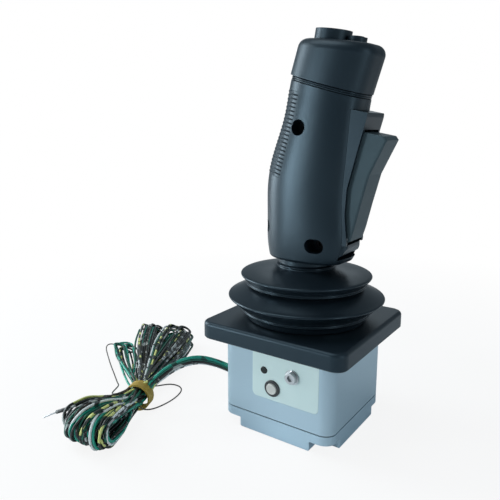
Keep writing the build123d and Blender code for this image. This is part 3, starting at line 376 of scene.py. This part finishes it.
for name, slot_name in slot_of.items():
    dress(bpy.data.objects[name], own_finish.get(name, by_slot[slot_name]))
print("dressed solids:", len(slot_of))

# %% [markdown]
# ## Surfaces from formulas
# Each new piece is a grid of points worked out with numpy, as whole arrays. One helper turns a
# grid into a mesh: rows and columns of points become quads, and a direction that closes on
# itself wraps round.

# %% Grid to mesh
def grid_mesh(name, points, close_rows=False, close_columns=False, caps=False):
    """Quads over a rows x columns x 3 array of points; a cap is one polygon on an end row."""
    rows, columns = points.shape[:2]
    index = np.arange(rows * columns).reshape(rows, columns)
    if close_rows:
        index = np.vstack([index, index[:1]])
    if close_columns:
        index = np.hstack([index, index[:, :1]])
    quads = np.stack([index[:-1, :-1], index[:-1, 1:], index[1:, 1:], index[1:, :-1]], -1)
    faces = [list(quad) for quad in quads.reshape(-1, 4).tolist()]
    if caps:
        faces.append(index[0, :columns][::-1].tolist())
        faces.append(index[rows - 1, :columns].tolist())
    mesh = bpy.data.meshes.new(name)
    mesh.from_pydata(points.reshape(-1, 3).tolist(), [], faces)
    mesh.polygons.foreach_set("use_smooth", np.ones(len(mesh.polygons), dtype=bool))
    mesh.validate()
    obj = bpy.data.objects.new(name, mesh)
    bpy.context.scene.collection.objects.link(obj)
    return obj


def smooth_path(points, steps):
    """Catmull-Rom curve: each run is a cubic through its two points, leaving along its neighbours."""
    p = np.asarray(points, dtype=float)
    p = np.vstack([2 * p[0] - p[1], p, 2 * p[-1] - p[-2]])
    t = np.linspace(0, 1, steps, endpoint=False)[:, None, None]
    a, b, c, d = p[:-3], p[1:-2], p[2:-1], p[3:]
    run = 0.5 * (2 * b + (c - a) * t + (2 * a - 5 * b + 4 * c - d) * t**2 + (3 * b - a - 3 * c + d) * t**3)
    return np.vstack([run.transpose(1, 0, 2).reshape(-1, p.shape[1]), p[-2:-1]])


print("helpers: grid_mesh, smooth_path")

# %% [markdown]
# ## The boot
# The rubber boot is one skin with two discs, made as two halves that meet at the fold: below
# the fold the skin goes from the housing to the gimbal, above it from the gimbal to the lever.
# A profile of radius and height is turned round the upright axis; the inner wall is the same
# line, one wall thickness inside.

# %% Boot skin
def turned(name, profile, steps=6, columns=144):
    """Closed profile (radius, height) carried round the z axis: x = r cos a, y = r sin a."""
    line = smooth_path(profile, steps)[:-1]
    angle = np.linspace(0, 2 * np.pi, columns, endpoint=False)
    radius, height = line[:, 0][:, None], line[:, 1][:, None]
    points = np.stack([radius * np.cos(angle), radius * np.sin(angle), height + 0 * angle], -1)
    return grid_mesh(name, points, close_rows=True, close_columns=True)


wall = 0.0016
fold = (0.0400, 0.1046)
low_outer = [
    (0.0434, 0.0812), (0.0440, 0.0835), (0.0446, 0.0850), (0.0456, 0.0858), (0.0466, 0.0860),
    (0.0472, 0.0864), (0.0473, 0.0870), (0.0468, 0.0875), (0.0470, 0.0882), (0.0492, 0.0900),
    (0.0524, 0.0928), (0.0548, 0.0948), (0.0561, 0.0958), (0.0567, 0.0965), (0.0567, 0.0972),
    (0.0560, 0.0978), (0.0540, 0.0986), (0.0500, 0.1005), (0.0440, 0.1034), (0.0406, 0.1045),
]
high_outer = [
    (0.0402, 0.1046), (0.0408, 0.1053), (0.0422, 0.1056), (0.0434, 0.1059), (0.0440, 0.1063),
    (0.0441, 0.1069), (0.0436, 0.1074), (0.0438, 0.1081), (0.0452, 0.1098), (0.0464, 0.1110),
    (0.0472, 0.1119), (0.0475, 0.1126), (0.0473, 0.1132), (0.0464, 0.1137), (0.0440, 0.1143),
    (0.0380, 0.1156), (0.0300, 0.1171), (0.0240, 0.1182), (0.0218, 0.1187), (0.0210, 0.1192),
    (0.0210, 0.1198), (0.0213, 0.1203), (0.0211, 0.1208), (0.0203, 0.1211), (0.0198, 0.1214),
    (0.0193, 0.1217),
]


def with_inner(outer):
    inner = [(r - wall, z) for r, z in outer[::-1]]
    return outer + inner + [outer[0]]


lower_boot = turned("lower_boot", with_inner(low_outer))
upper_boot = turned("upper_boot", with_inner(high_outer))
for piece in (lower_boot, upper_boot):
    dress(piece, boot_rubber)
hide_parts("bellows_boot")
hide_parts("bellows_boot")
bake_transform(lower_boot)
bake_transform(upper_boot)
print("boot points:", len(lower_boot.data.vertices) + len(upper_boot.data.vertices))

# %% [markdown]
# ## The ring under the head
# A dark rubber ring closes the joint between the handle and the head. It has two small beads
# with a groove between them. Its outline is the handle's own oval: a power of the cosine and
# of the sine, squarer in front than behind, on a plane that leans back by 16.6 degrees.

# %% Ring under the head
def oval(angle, rear, front, half, rear_power=2.15, front_power=2.6):
    """Points c = reach |cos|^(2/p), s = half |sin|^(2/p), with reach and p set by the side."""
    cosine, sine = np.cos(angle), np.sin(angle)
    ahead = cosine > 0
    power = np.where(ahead, front_power, rear_power)
    reach = np.where(ahead, front, rear)
    return (reach * np.sign(cosine) * np.abs(cosine) ** (2 / power),
            half * np.sign(sine) * np.abs(sine) ** (2 / power))


ring_lean = np.radians(16.6)
ring_angle = np.linspace(0, 2 * np.pi, 180, endpoint=False)
ring_profile = smooth_path([
    (5.2, 0.02), (1.6, 0.04), (0.75, 0.10), (0.35, 0.45), (0.10, 0.80), (0.10, 1.20), (0.55, 1.60),
    (0.10, 2.00), (0.10, 2.40), (0.35, 2.75), (0.75, 3.05), (1.6, 3.14), (5.2, 3.16),
], 4) / 1000
ring_rows = []
for inset, rise in ring_profile:
    ahead, beside = oval(ring_angle, 0.0274 - inset, 0.0286 - inset, 0.0217 - inset)
    ring_rows.append(np.stack([
        0.0150 + ahead * np.cos(ring_lean) + rise * np.sin(ring_lean), beside,
        0.2435 - ahead * np.sin(ring_lean) + rise * np.cos(ring_lean)], -1))
beaded_ring = grid_mesh("beaded_ring", np.array(ring_rows)[::-1], close_rows=True, close_columns=True)
dress(beaded_ring, boot_rubber)
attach(beaded_ring, "lever")
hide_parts("head_ring")

# %% [markdown]
# ## Ribs of the handle
# The grip ribs are small rounded bars on the handle's rear, one row on each half shell. Each
# follows its shell, so rays cast forward from behind the handle find the shell's surface, and
# a bar's section is carried along the points that they hit. Its ends sink into the shell.

# %% Ribs on both shells
lean = np.radians(13.0)
grip_axis = np.array([np.sin(lean), 0.0, np.cos(lean)])
grip_ahead = np.array([np.cos(lean), 0.0, -np.sin(lean)])
rib_pitch = 0.00272
rib_section = np.array([
    (-0.86, -0.25), (-0.78, 0.06), (-0.50, 0.25), (0.0, 0.33), (0.50, 0.25), (0.78, 0.06), (0.86, -0.25),
]) / 1000


def shell_surface(name):
    """Search tree over the triangles of one half shell."""
    mesh = bpy.data.objects[name].data
    places = np.empty(len(mesh.vertices) * 3)
    mesh.vertices.foreach_get("co", places)
    return BVHTree.FromPolygons(places.reshape(-1, 3).tolist(), [tuple(face.vertices) for face in mesh.polygons])


def rib_rows(tree, along, sign, rows=14):
    """Section points on one rib: hit + tangent t + normal h, with h drawn down at both ends."""
    hits = []
    for beside in np.linspace(0.0024, 0.0204, 46):
        start = grip_axis * along - grip_ahead * 0.09 + np.array([0.0, sign * beside, 0.0])
        spot, normal, face, reach = tree.ray_cast(Vector(start), Vector(grip_ahead))
        if spot is None or np.dot(spot, grip_ahead) > -0.0517:
            break
        hits.append((spot, normal))
    hits = np.array(hits)[np.linspace(0, len(hits) - 1, rows).astype(int)]
    spots, normals = hits[:, 0], hits[:, 1]
    tangents = grip_axis - normals * (normals @ grip_axis)[:, None]
    tangents /= np.linalg.norm(tangents, axis=1)[:, None]
    taper = np.clip(np.minimum(np.arange(rows), np.arange(rows)[::-1]) / 2.0, 0, 1)[:, None, None]
    section = rib_section[::int(sign)]
    sunk = section[:, 1].min()
    height = sunk + (section[None, :, 1:] - sunk) * taper
    return spots[:, None] + tangents[:, None] * section[None, :, :1] + normals[:, None] * height


def rib_row_mesh(name, ribs):
    """All bars of one side in one mesh; each is a closed grid of rows x columns points."""
    count, rows, columns = ribs.shape[:3]
    index = np.arange(count * rows * columns).reshape(count, rows, columns)
    round_about = np.concatenate([index, index[:, :, :1]], axis=2)
    quads = np.stack([round_about[:, :-1, :-1], round_about[:, :-1, 1:],
                      round_about[:, 1:, 1:], round_about[:, 1:, :-1]], -1).reshape(-1, 4)
    faces = quads.tolist() + index[:, 0, ::-1].tolist() + index[:, -1].tolist()
    mesh = bpy.data.meshes.new(name)
    mesh.from_pydata(ribs.reshape(-1, 3).tolist(), [], faces)
    mesh.polygons.foreach_set("use_smooth", np.ones(len(mesh.polygons), dtype=bool))
    obj = bpy.data.objects.new(name, mesh)
    bpy.context.scene.collection.objects.link(obj)
    return obj


rib_plastic = moulded("rib_plastic", (0.006, 0.011, 0.016), 0.46, sheen=cool, shine=0.34)
rib_places = (np.arange(65, 87) + 0.25) * rib_pitch
for shell_name, sign, rib_name in (("grip_shell_right", -1, "ribs_right"), ("grip_shell_left", 1, "ribs_left")):
    tree = shell_surface(shell_name)
    bars = rib_row_mesh(rib_name, np.array([rib_rows(tree, along, sign) for along in rib_places]))
    dress(bars, rib_plastic)
    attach(bars, "lever")
    print(rib_name, "with", len(rib_places), "bars and", len(bars.data.vertices), "points")

# %% [markdown]
# ## Loose wires
# Thirteen thin wires leave the housing as one loom, go over in a low arch and are folded into a
# hank: loops to both sides of a tie. Each wire is one NURBS curve of its own length, about
# 1.8 m. Its loops are worked out one after the other: where it crosses the tie, how far its
# loop goes out, how wide it is, and which layer of the pile it lies in.

# %% Loops of one wire
rng = np.random.default_rng(12)
tie_centre = np.array([-0.107, -0.070, 0.012])
tie_heading = np.radians(-70.0)
tie_side = np.array([-np.sin(tie_heading), np.cos(tie_heading), 0.0])
upright = np.array([0.0, 0.0, 1.0])
lobes = {  # heading in degrees, length, half width, half height of the pile, turn of its loops
    "low_left": (-86.0, 0.071, 0.0165, 0.0140, 1.57),
    "low_right": (-73.5, 0.070, 0.0125, 0.0125, 1.57),
    "up_left": (141.5, 0.121, 0.0095, 0.0060, 0.30),
    "up_centre": (127.5, 0.146, 0.0115, 0.0105, 0.80),
    "up_right": (117.0, 0.140, 0.0130, 0.0100, 0.30),
}
layer = {name: 0 for name in lobes}
lead_route = np.array([
    (-0.04655, -0.0050, 0.0204), (-0.0575, -0.0050, 0.0204), (-0.0700, -0.0115, 0.0270),
    (-0.0820, -0.0260, 0.0340), (-0.0910, -0.0425, 0.0325), (-0.0990, -0.0560, 0.0240),
])
wire_width = 0.0019


def loop_points(name, start, end, outside):
    """Twelve points round one loop: a long oval, stood on edge beside others or laid over them."""
    heading, length, half, tall, turned_by = lobes[name]
    share = layer[name] * 0.618 % 1.0
    layer[name] += 1
    aside = np.sin((share - 0.5) * 2.6)
    wide = (1.0 if outside else rng.uniform(0.40, 1.0)) * np.sqrt(1 - 0.7 * aside**2)
    tilt = rng.normal(turned_by, 0.22)
    free = (1 - wide) * rng.uniform(-1, 1) * np.cos(turned_by)
    shift, level = (0.85 * aside * np.sin(turned_by) + free) * half, 0.9 * aside * np.cos(turned_by)
    reach = np.array([half * np.cos(tilt), (tall - 0.0008) * np.sin(tilt)])
    radius = max(wide * np.hypot(*reach), 0.0045)
    way = reach / np.hypot(*reach)
    angle = np.radians(heading + rng.normal(0, 1.2))
    out = np.array([np.cos(angle), np.sin(angle), 0.0])
    side = np.array([-np.sin(angle), np.cos(angle), 0.0])
    end_at = length * (1 - 0.16 * (shift / half)**2) * rng.uniform(0.96, 1.01)
    straight = end_at - 1.414 * radius
    leg = np.array([0.22 * straight, 0.50 * straight, 0.76 * straight, straight, straight + 0.828 * radius, end_at])
    leg_bulge = np.array([-0.15, -0.62, -0.95, -1.0, -1.0, -0.414])
    far = np.concatenate([leg, leg[::-1]])
    bulge = np.concatenate([leg_bulge, -leg_bulge[::-1]]) * radius * rng.choice([-1, 1])
    mix = np.clip(far / (0.6 * end_at), 0, 1)
    spot = np.where(np.arange(12)[:, None] < 6, start, end)
    points = tie_centre + np.outer(far, out)
    points += np.outer(bulge * way[0] + shift * mix + spot[:, 0] * (1 - mix), side)
    rise = tall * (1 + level) + 0.0010 + bulge * way[1]
    rise += max(0.0, 0.0012 - rise.min())
    points[:, 2] = (tie_centre[2] + spot[:, 1]) * (1 - mix) + rise * mix
    steady = np.array([1.0, 1.0, 1.0, 0.1, 0.0, 0.0])
    steady = np.concatenate([steady, steady[::-1]])
    points += rng.normal(0, 0.0005, points.shape) * steady[:, None]
    points[:, 2] = np.maximum(points[:, 2], 0.0011)
    return points


def tie_point(spot):
    return tie_centre + tie_side * spot[0] + upright * spot[1]


# %% [markdown]
# Inside the tie the crossings are spread like the seeds of a sunflower, so that no two wires
# share a place. The order is shuffled once with a fixed seed.

# %% All wires
def wire_with_painted_light(name, color, painted_light_color, share):
    """Wire colour with patches of a second colour where a noise of 7 mm passes a level; lighter patches are painted
    highlights, darker ones painted shade.
    """
    shader = moulded("wire_" + name, color, 0.36, grain=1400.0, height=0.00001, tint=0.16)
    patch = shader.ramp(shader.noise(140.0, 1.0), 0.66 - share, 0.68 - share)
    shader.set("Base Color", shader.blend_colors(patch, color, painted_light_color))
    return shader


# The second colour is painted light: light flecks on the black, grey and brown wires are painted highlights, and
# dark patches on the teal, green, white and yellow wires are painted shade.
wire_finish = {
    "teal": wire_with_painted_light("teal", (0.010, 0.320, 0.220), (0.006, 0.090, 0.060), 0.10),
    "green": wire_with_painted_light("green", (0.006, 0.120, 0.075), (0.010, 0.030, 0.024), 0.10),
    "black": wire_with_painted_light("black", (0.014, 0.015, 0.014), (0.420, 0.440, 0.420), 0.07),
    "grey": wire_with_painted_light("grey", (0.050, 0.052, 0.048), (0.420, 0.440, 0.430), 0.08),
    "brown": wire_with_painted_light("brown", (0.035, 0.028, 0.022), (0.500, 0.500, 0.460), 0.09),
    "white": wire_with_painted_light("white", (0.780, 0.800, 0.780), (0.040, 0.045, 0.045), 0.08),
    "yellow": wire_with_painted_light("yellow", (0.680, 0.700, 0.230), (0.030, 0.035, 0.030), 0.20),
}

plan = [
    ("black", "CRCR"), ("grey", "CRCR"), ("black", "CCRC"), ("green", "LRCR"),
    ("brown", "CCRC"), ("green", "RCRL"), ("grey", "CCCR"), ("black", "CRLC"),
    ("teal", "LRCL"), ("yellow", "RCLR"), ("black", "CRCR"), ("teal", "RLRC"),
    ("white", "RCRC"), ("yellow", "CRLC"), ("green", "RCRL"), ("black", "RCCR"),
]
loom_order = ["teal", "yellow", "green", "black", "brown", "grey", "white"]
loom_rank = sorted(range(len(plan)), key=lambda number: loom_order.index(plan[number][0]))
loom_seed = np.arange(len(plan))
loom_radius = 0.0027 * np.sqrt((loom_seed + 0.5) / len(plan))
loom_spots = np.stack([loom_radius * np.cos(loom_seed * 2.39996), loom_radius * np.sin(loom_seed * 2.39996)], 1)
loom_spots = loom_spots[np.argsort(-loom_spots[:, 1])]
upper_lobe = {"L": "up_left", "C": "up_centre", "R": "up_right"}
crossings = sum(2 * len(lobe_plan) + 1 for color, lobe_plan in plan)
seed = np.arange(crossings)
seed_radius = 0.0075 * np.sqrt((seed + 0.5) / crossings)
spots = np.stack([seed_radius * np.cos(seed * 2.39996), seed_radius * np.sin(seed * 2.39996)], 1)
spots = iter(rng.permutation(spots))


def wire_route(number, lobe_plan, outside):
    """Control points of one wire: along the loom, then loop by loop, and a short free end."""
    offset = np.array([0.0, *loom_spots[loom_rank.index(number)]])
    spread = np.array([1.0, 1.0, 1.0, 1.1, 1.3, 1.6])[:, None]
    spot = next(spots)
    points = [lead_route + offset * spread, tie_point(spot)[None]]
    for number_of_turn, letter in enumerate(lobe_plan):
        low = "low_left" if (number + number_of_turn) % 2 else "low_right"
        for lobe in (low, upper_lobe[letter]):
            arrival = next(spots)
            points += [loop_points(lobe, spot, arrival, outside), tie_point(arrival)[None]]
            spot = arrival
    heading = np.radians(-95 + rng.uniform(-14, 14))
    out = np.array([np.cos(heading), np.sin(heading), 0.0])
    reach = np.array([0.4, 0.8, 1.0])
    end = tie_centre + np.outer(0.030 * reach, out) + tie_side * spot[0]
    end[:, 2] = (tie_centre[2] + spot[1]) * (1 - reach) + 0.018 * reach
    return np.vstack(points + [end])


def curve_length(points):
    """Length of the quadratic spline that the control points make."""
    p = np.vstack([points[:1], points, points[-1:]])
    t = np.linspace(0, 1, 12, endpoint=False)[:, None, None]
    run = 0.5 * ((1 - t) ** 2 * p[:-2] + (1 + 2 * t - 2 * t**2) * p[1:-1] + t**2 * p[2:])
    line = run.transpose(1, 0, 2).reshape(-1, 3)
    return float(np.linalg.norm(np.diff(line, axis=0), axis=1).sum())


def lay_wire(name, points, width, shader, slot_name, far_end="bare", **facts):
    """One NURBS curve of third order through the air above its control points."""
    curve = bpy.data.curves.new(name, "CURVE")
    curve.dimensions = "3D"
    curve.bevel_depth = width / 2
    curve.bevel_resolution = 2
    curve.resolution_u = 5
    curve.use_fill_caps = True
    spline = curve.splines.new("NURBS")
    spline.points.add(len(points) - 1)
    spline.points.foreach_set("co", np.hstack([points, np.ones((len(points), 1))]).ravel())
    spline.order_u = 3
    spline.use_endpoint_u = True
    obj = bpy.data.objects.new(name, curve)
    bpy.context.scene.collection.objects.link(obj)
    dress(obj, shader)
    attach(obj, "base")
    curve_length(points)
    return obj


wires = []
for number, (color, lobe_plan) in enumerate(plan):
    route = wire_route(number, lobe_plan, color in ("white", "yellow"))
    wires.append(lay_wire(f"wire_{number}_{color}", route, wire_width, wire_finish[color], "wire_green"))
for wire in wires:
    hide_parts("wire_lead", "wire_hank")
print("wires:", len(wires), "the last of", round(curve_length(route), 2), "m")

# %% [markdown]
# One thinner wire strays from the pile. From the tie it makes a wide loop over the floor to
# the right, another to the left, and ends in front with a dark sleeve and a bare tinned tip.

# %% Stray wire with its sleeve
stray_route = np.array([
    (-0.1120, -0.0560, 0.0170), (-0.1075, -0.0640, 0.0185), (-0.1045, -0.0740, 0.0170),
    (-0.1005, -0.0770, 0.0060), (-0.0980, -0.0690, 0.0018), (-0.0957, -0.0583, 0.0010),
    (-0.0950, -0.0440, 0.0010), (-0.0975, -0.0320, 0.0010), (-0.1015, -0.0250, 0.0010),
    (-0.1073, -0.0224, 0.0012), (-0.1135, -0.0250, 0.0020), (-0.1150, -0.0330, 0.0040),
    (-0.1120, -0.0470, 0.0090), (-0.1095, -0.0600, 0.0160), (-0.1080, -0.0700, 0.0195),
    (-0.1110, -0.0830, 0.0180), (-0.1200, -0.0870, 0.0160), (-0.1270, -0.0790, 0.0130),
    (-0.1340, -0.0660, 0.0110), (-0.1416, -0.0610, 0.0090), (-0.1605, -0.0475, 0.0070),
    (-0.1790, -0.0350, 0.0060), (-0.2010, -0.0190, 0.0050), (-0.2170, -0.0070, 0.0040),
    (-0.2225, 0.0010, 0.0040), (-0.2180, 0.0050, 0.0040), (-0.2085, 0.0010, 0.0040),
    (-0.1985, -0.0065, 0.0045), (-0.1820, -0.0185, 0.0060), (-0.1500, -0.0400, 0.0100),
    (-0.1220, -0.0600, 0.0170), (-0.1120, -0.0700, 0.0200), (-0.1100, -0.0830, 0.0195),
    (-0.1140, -0.0970, 0.0200), (-0.1230, -0.1090, 0.0170), (-0.1353, -0.1171, 0.0120),
])
stray_width = 0.0011
sleeve_way = np.array([-0.0093, -0.0047, -0.0040]) / 0.01116
tip_way = np.array([-0.0077, -0.0059, -0.0040]) / 0.01049


def tube_mesh(name, start, way, stations, radii, columns=14):
    """Straight tube: circles of the given radii at the stations along a way."""
    side = np.cross(way, upright)
    side = side / np.linalg.norm(side)
    over = np.cross(side, way)
    angle = np.linspace(0, 2 * np.pi, columns, endpoint=False)
    ring = np.outer(np.cos(angle), side) + np.outer(np.sin(angle), over)
    centres = start + np.outer(stations, way)
    points = centres[:, None] + np.asarray(radii)[:, None, None] * ring
    return grid_mesh(name, points, close_columns=True, caps=True)


sleeve = tube_mesh("wire_end_sleeve", stray_route[-1] - 0.0015 * sleeve_way, sleeve_way,
                   [0, 0.0002, 0.0010, 0.0110, 0.0118, 0.0122],
                   [0.0006, 0.0013, 0.0015, 0.0014, 0.0011, 0.0005])
bare_tip = tube_mesh("wire_end_tip", stray_route[-1] + 0.0088 * sleeve_way, tip_way,
                     [0, 0.0001, 0.0040, 0.0120, 0.0124], [0.0005, 0.0006, 0.0005, 0.0006, 0.0003])
dress(sleeve, wire_finish["black"])
dress(bare_tip, die_cast)
for piece in (sleeve, bare_tip):
    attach(piece, "base")
    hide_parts("wire_sleeve")
stray_color = moulded("wire_stray", (0.090, 0.070, 0.060), 0.4, grain=1400.0, height=0.00001)
stray = lay_wire("wire_stray", stray_route, stray_width, stray_color, "wire_black",
                 far_end="fitting", with_pieces=[sleeve, bare_tip])
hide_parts("wire_tail")
print("stray wire:", round(curve_length(stray_route), 3), "m")

# %% [markdown]
# ## Blank label
# A plain foil label lies on the housing's service face, behind the light and the buttons. It is
# a rounded rectangle of points, a little proud of the paint, and it stays blank.

# %% Label on the service face
def rounded_plate(name, low, high, corner, face_y, proud, steps=8):
    """Outline of four quarter circles, drawn in twice towards the middle, as a shallow crown."""
    angle = np.linspace(0, np.pi / 2, steps)
    middle = (np.array(low) + np.array(high)) / 2
    half = (np.array(high) - np.array(low)) / 2 - corner
    outline = []
    for quarter, (sx, sz) in enumerate(((1, 1), (-1, 1), (-1, -1), (1, -1))):
        a = angle + quarter * np.pi / 2
        arc = np.stack([np.cos(a), np.sin(a)], 1) * corner + half * (sx, sz)
        outline.append(arc)
    outline = np.vstack(outline)
    rings = []
    for shrink, rise in ((0.0, -0.05), (0.0, 0.8), (0.0003, 1.0), (0.004, 1.0)):
        factor = 1 - shrink / np.abs(outline).max(axis=0)
        flat = outline * factor + middle
        rings.append(np.stack([flat[:, 0], np.full(len(flat), face_y - proud * rise), flat[:, 1]], 1))
    return grid_mesh(name, np.array(rings), close_columns=True, caps=True)


label_foil = Shader("label_foil", (0.56, 0.66, 0.64), 0.42, Metallic=0.15)
foil_cloud = label_foil.noise(40.0, 3.0)
label_foil.set("Base Color", label_foil.blend_colors(foil_cloud, (0.60, 0.73, 0.71), (0.70, 0.82, 0.79)))
label_foil.bump(label_foil.noise(600.0, 2.0), 0.00001)
service_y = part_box("base_housing")[0][1]
label = rounded_plate("blank_label", (-0.0175, 0.0295), (0.0345, 0.0665), 0.0035, service_y, 0.00012)
dress(label, label_foil)
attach(label, "base")
print("label 52 x 37 mm, blank")

# %% [markdown]
# ## Room and light
# The object stands on a flat, plain white floor, eight metres square. The world
# and the floor show white to the camera and to glossy rays, and the lamps keep a plain level.
# A large soft lamp at the left gives the handle its long highlight.

# %% Floor and world
floor_finish = Shader("floor_paint", (0.90, 0.91, 0.92), 0.75)
floor_finish.bump(floor_finish.noise(300.0), 0.00002)
floor_x, floor_y, floor_z = floor_finish.axes()
distance = floor_finish.make("ShaderNodeMath", {"operation": "SQRT"}, floor_x * floor_x + floor_y * floor_y)
seen = floor_finish.make("ShaderNodeLightPath", {}, output=0)
glossy = Socket(floor_finish, seen.socket.node.outputs["Is Glossy Ray"])
through = Socket(floor_finish, seen.socket.node.outputs["Is Transmission Ray"])
far_away = floor_finish.ramp(distance, 0.20, 0.60)
white = floor_finish.make("ShaderNodeEmission", {}, (1.0, 1.0, 1.0), 1.0)
plain_white = floor_finish.make("ShaderNodeMixShader", {},
                                seen * (far_away * 0.12 + 0.88) + glossy * far_away * 0.35 + through,
                                Socket(floor_finish, floor_finish.principled.outputs[0]), white)
floor_out = floor_finish.tree.nodes["Material Output"]
floor_finish.tree.links.new(plain_white.socket, floor_out.inputs[0])

across = np.linspace(-4, 4, 9)
floor_points = np.stack(np.meshgrid(across, across, indexing="xy") + [np.zeros((9, 9))], -1)
floor = grid_mesh("floor", floor_points)
dress(floor, floor_finish)

world = bpy.data.worlds.new("studio")
world.use_nodes = True
bpy.context.scene.world = world
world_nodes, world_links = world.node_tree.nodes, world.node_tree.links
dim = world_nodes["Background"]
dim.inputs[0].default_value = (0.66, 0.86, 1.0, 1)
dim.inputs[1].default_value = 0.22
bright = world_nodes.new("ShaderNodeBackground")
bright.inputs[1].default_value = 1.0
bright.inputs[0].default_value = (1, 1, 1, 1)
path = world_nodes.new("ShaderNodeLightPath")
either = world_nodes.new("ShaderNodeMath")
either.operation = "MAXIMUM"
world_links.new(path.outputs["Is Camera Ray"], either.inputs[0])
world_links.new(path.outputs["Is Transmission Ray"], either.inputs[1])
mirrored = world_nodes.new("ShaderNodeMath")
mirrored.operation = "MULTIPLY_ADD"
world_links.new(path.outputs["Is Glossy Ray"], mirrored.inputs[0])
mirrored.inputs[1].default_value = 0.06
world_links.new(either.outputs[0], mirrored.inputs[2])
world_mix = world_nodes.new("ShaderNodeMixShader")
world_links.new(mirrored.outputs[0], world_mix.inputs[0])
world_links.new(dim.outputs[0], world_mix.inputs[1])
world_links.new(bright.outputs[0], world_mix.inputs[2])
world_links.new(world_mix.outputs[0], world_nodes["World Output"].inputs[0])
bpy.context.scene.view_settings.view_transform = "Standard"


def soft_lamp(name, place, aim, size, power, color=(1, 1, 1)):
    lamp = bpy.data.lights.new(name, "AREA")
    lamp.shape = "RECTANGLE"
    lamp.size, lamp.size_y = size
    lamp.energy = power
    lamp.color = color
    obj = bpy.data.objects.new(name, lamp)
    obj.location = place
    obj.rotation_euler = (Vector(aim) - Vector(place)).to_track_quat("-Z", "Y").to_euler()
    bpy.context.scene.collection.objects.link(obj)


soft_lamp("left", (-1.0, -0.16, 0.40), (0, 0, 0.15), (0.40, 0.9), 8.5, (0.86, 0.95, 1.0))
soft_lamp("strip", (-0.75, -0.94, 0.19), (0, 0, 0.07), (0.20, 0.36), 6.0, (0.86, 0.95, 1.0))
soft_lamp("right", (0.95, -0.22, 0.35), (0, 0, 0.15), (0.12, 0.8), 1.6, (0.86, 0.95, 1.0))
soft_lamp("rear", (-0.55, 1.1, 0.75), (0, 0, 0.12), (0.6, 0.6), 0.9, (0.86, 0.95, 1.0))
soft_lamp("top", (-0.4, -0.3, 1.3), (0, 0, 0), (0.8, 0.8), 5.0, (0.90, 0.97, 1.0))
print("lamps: 5")
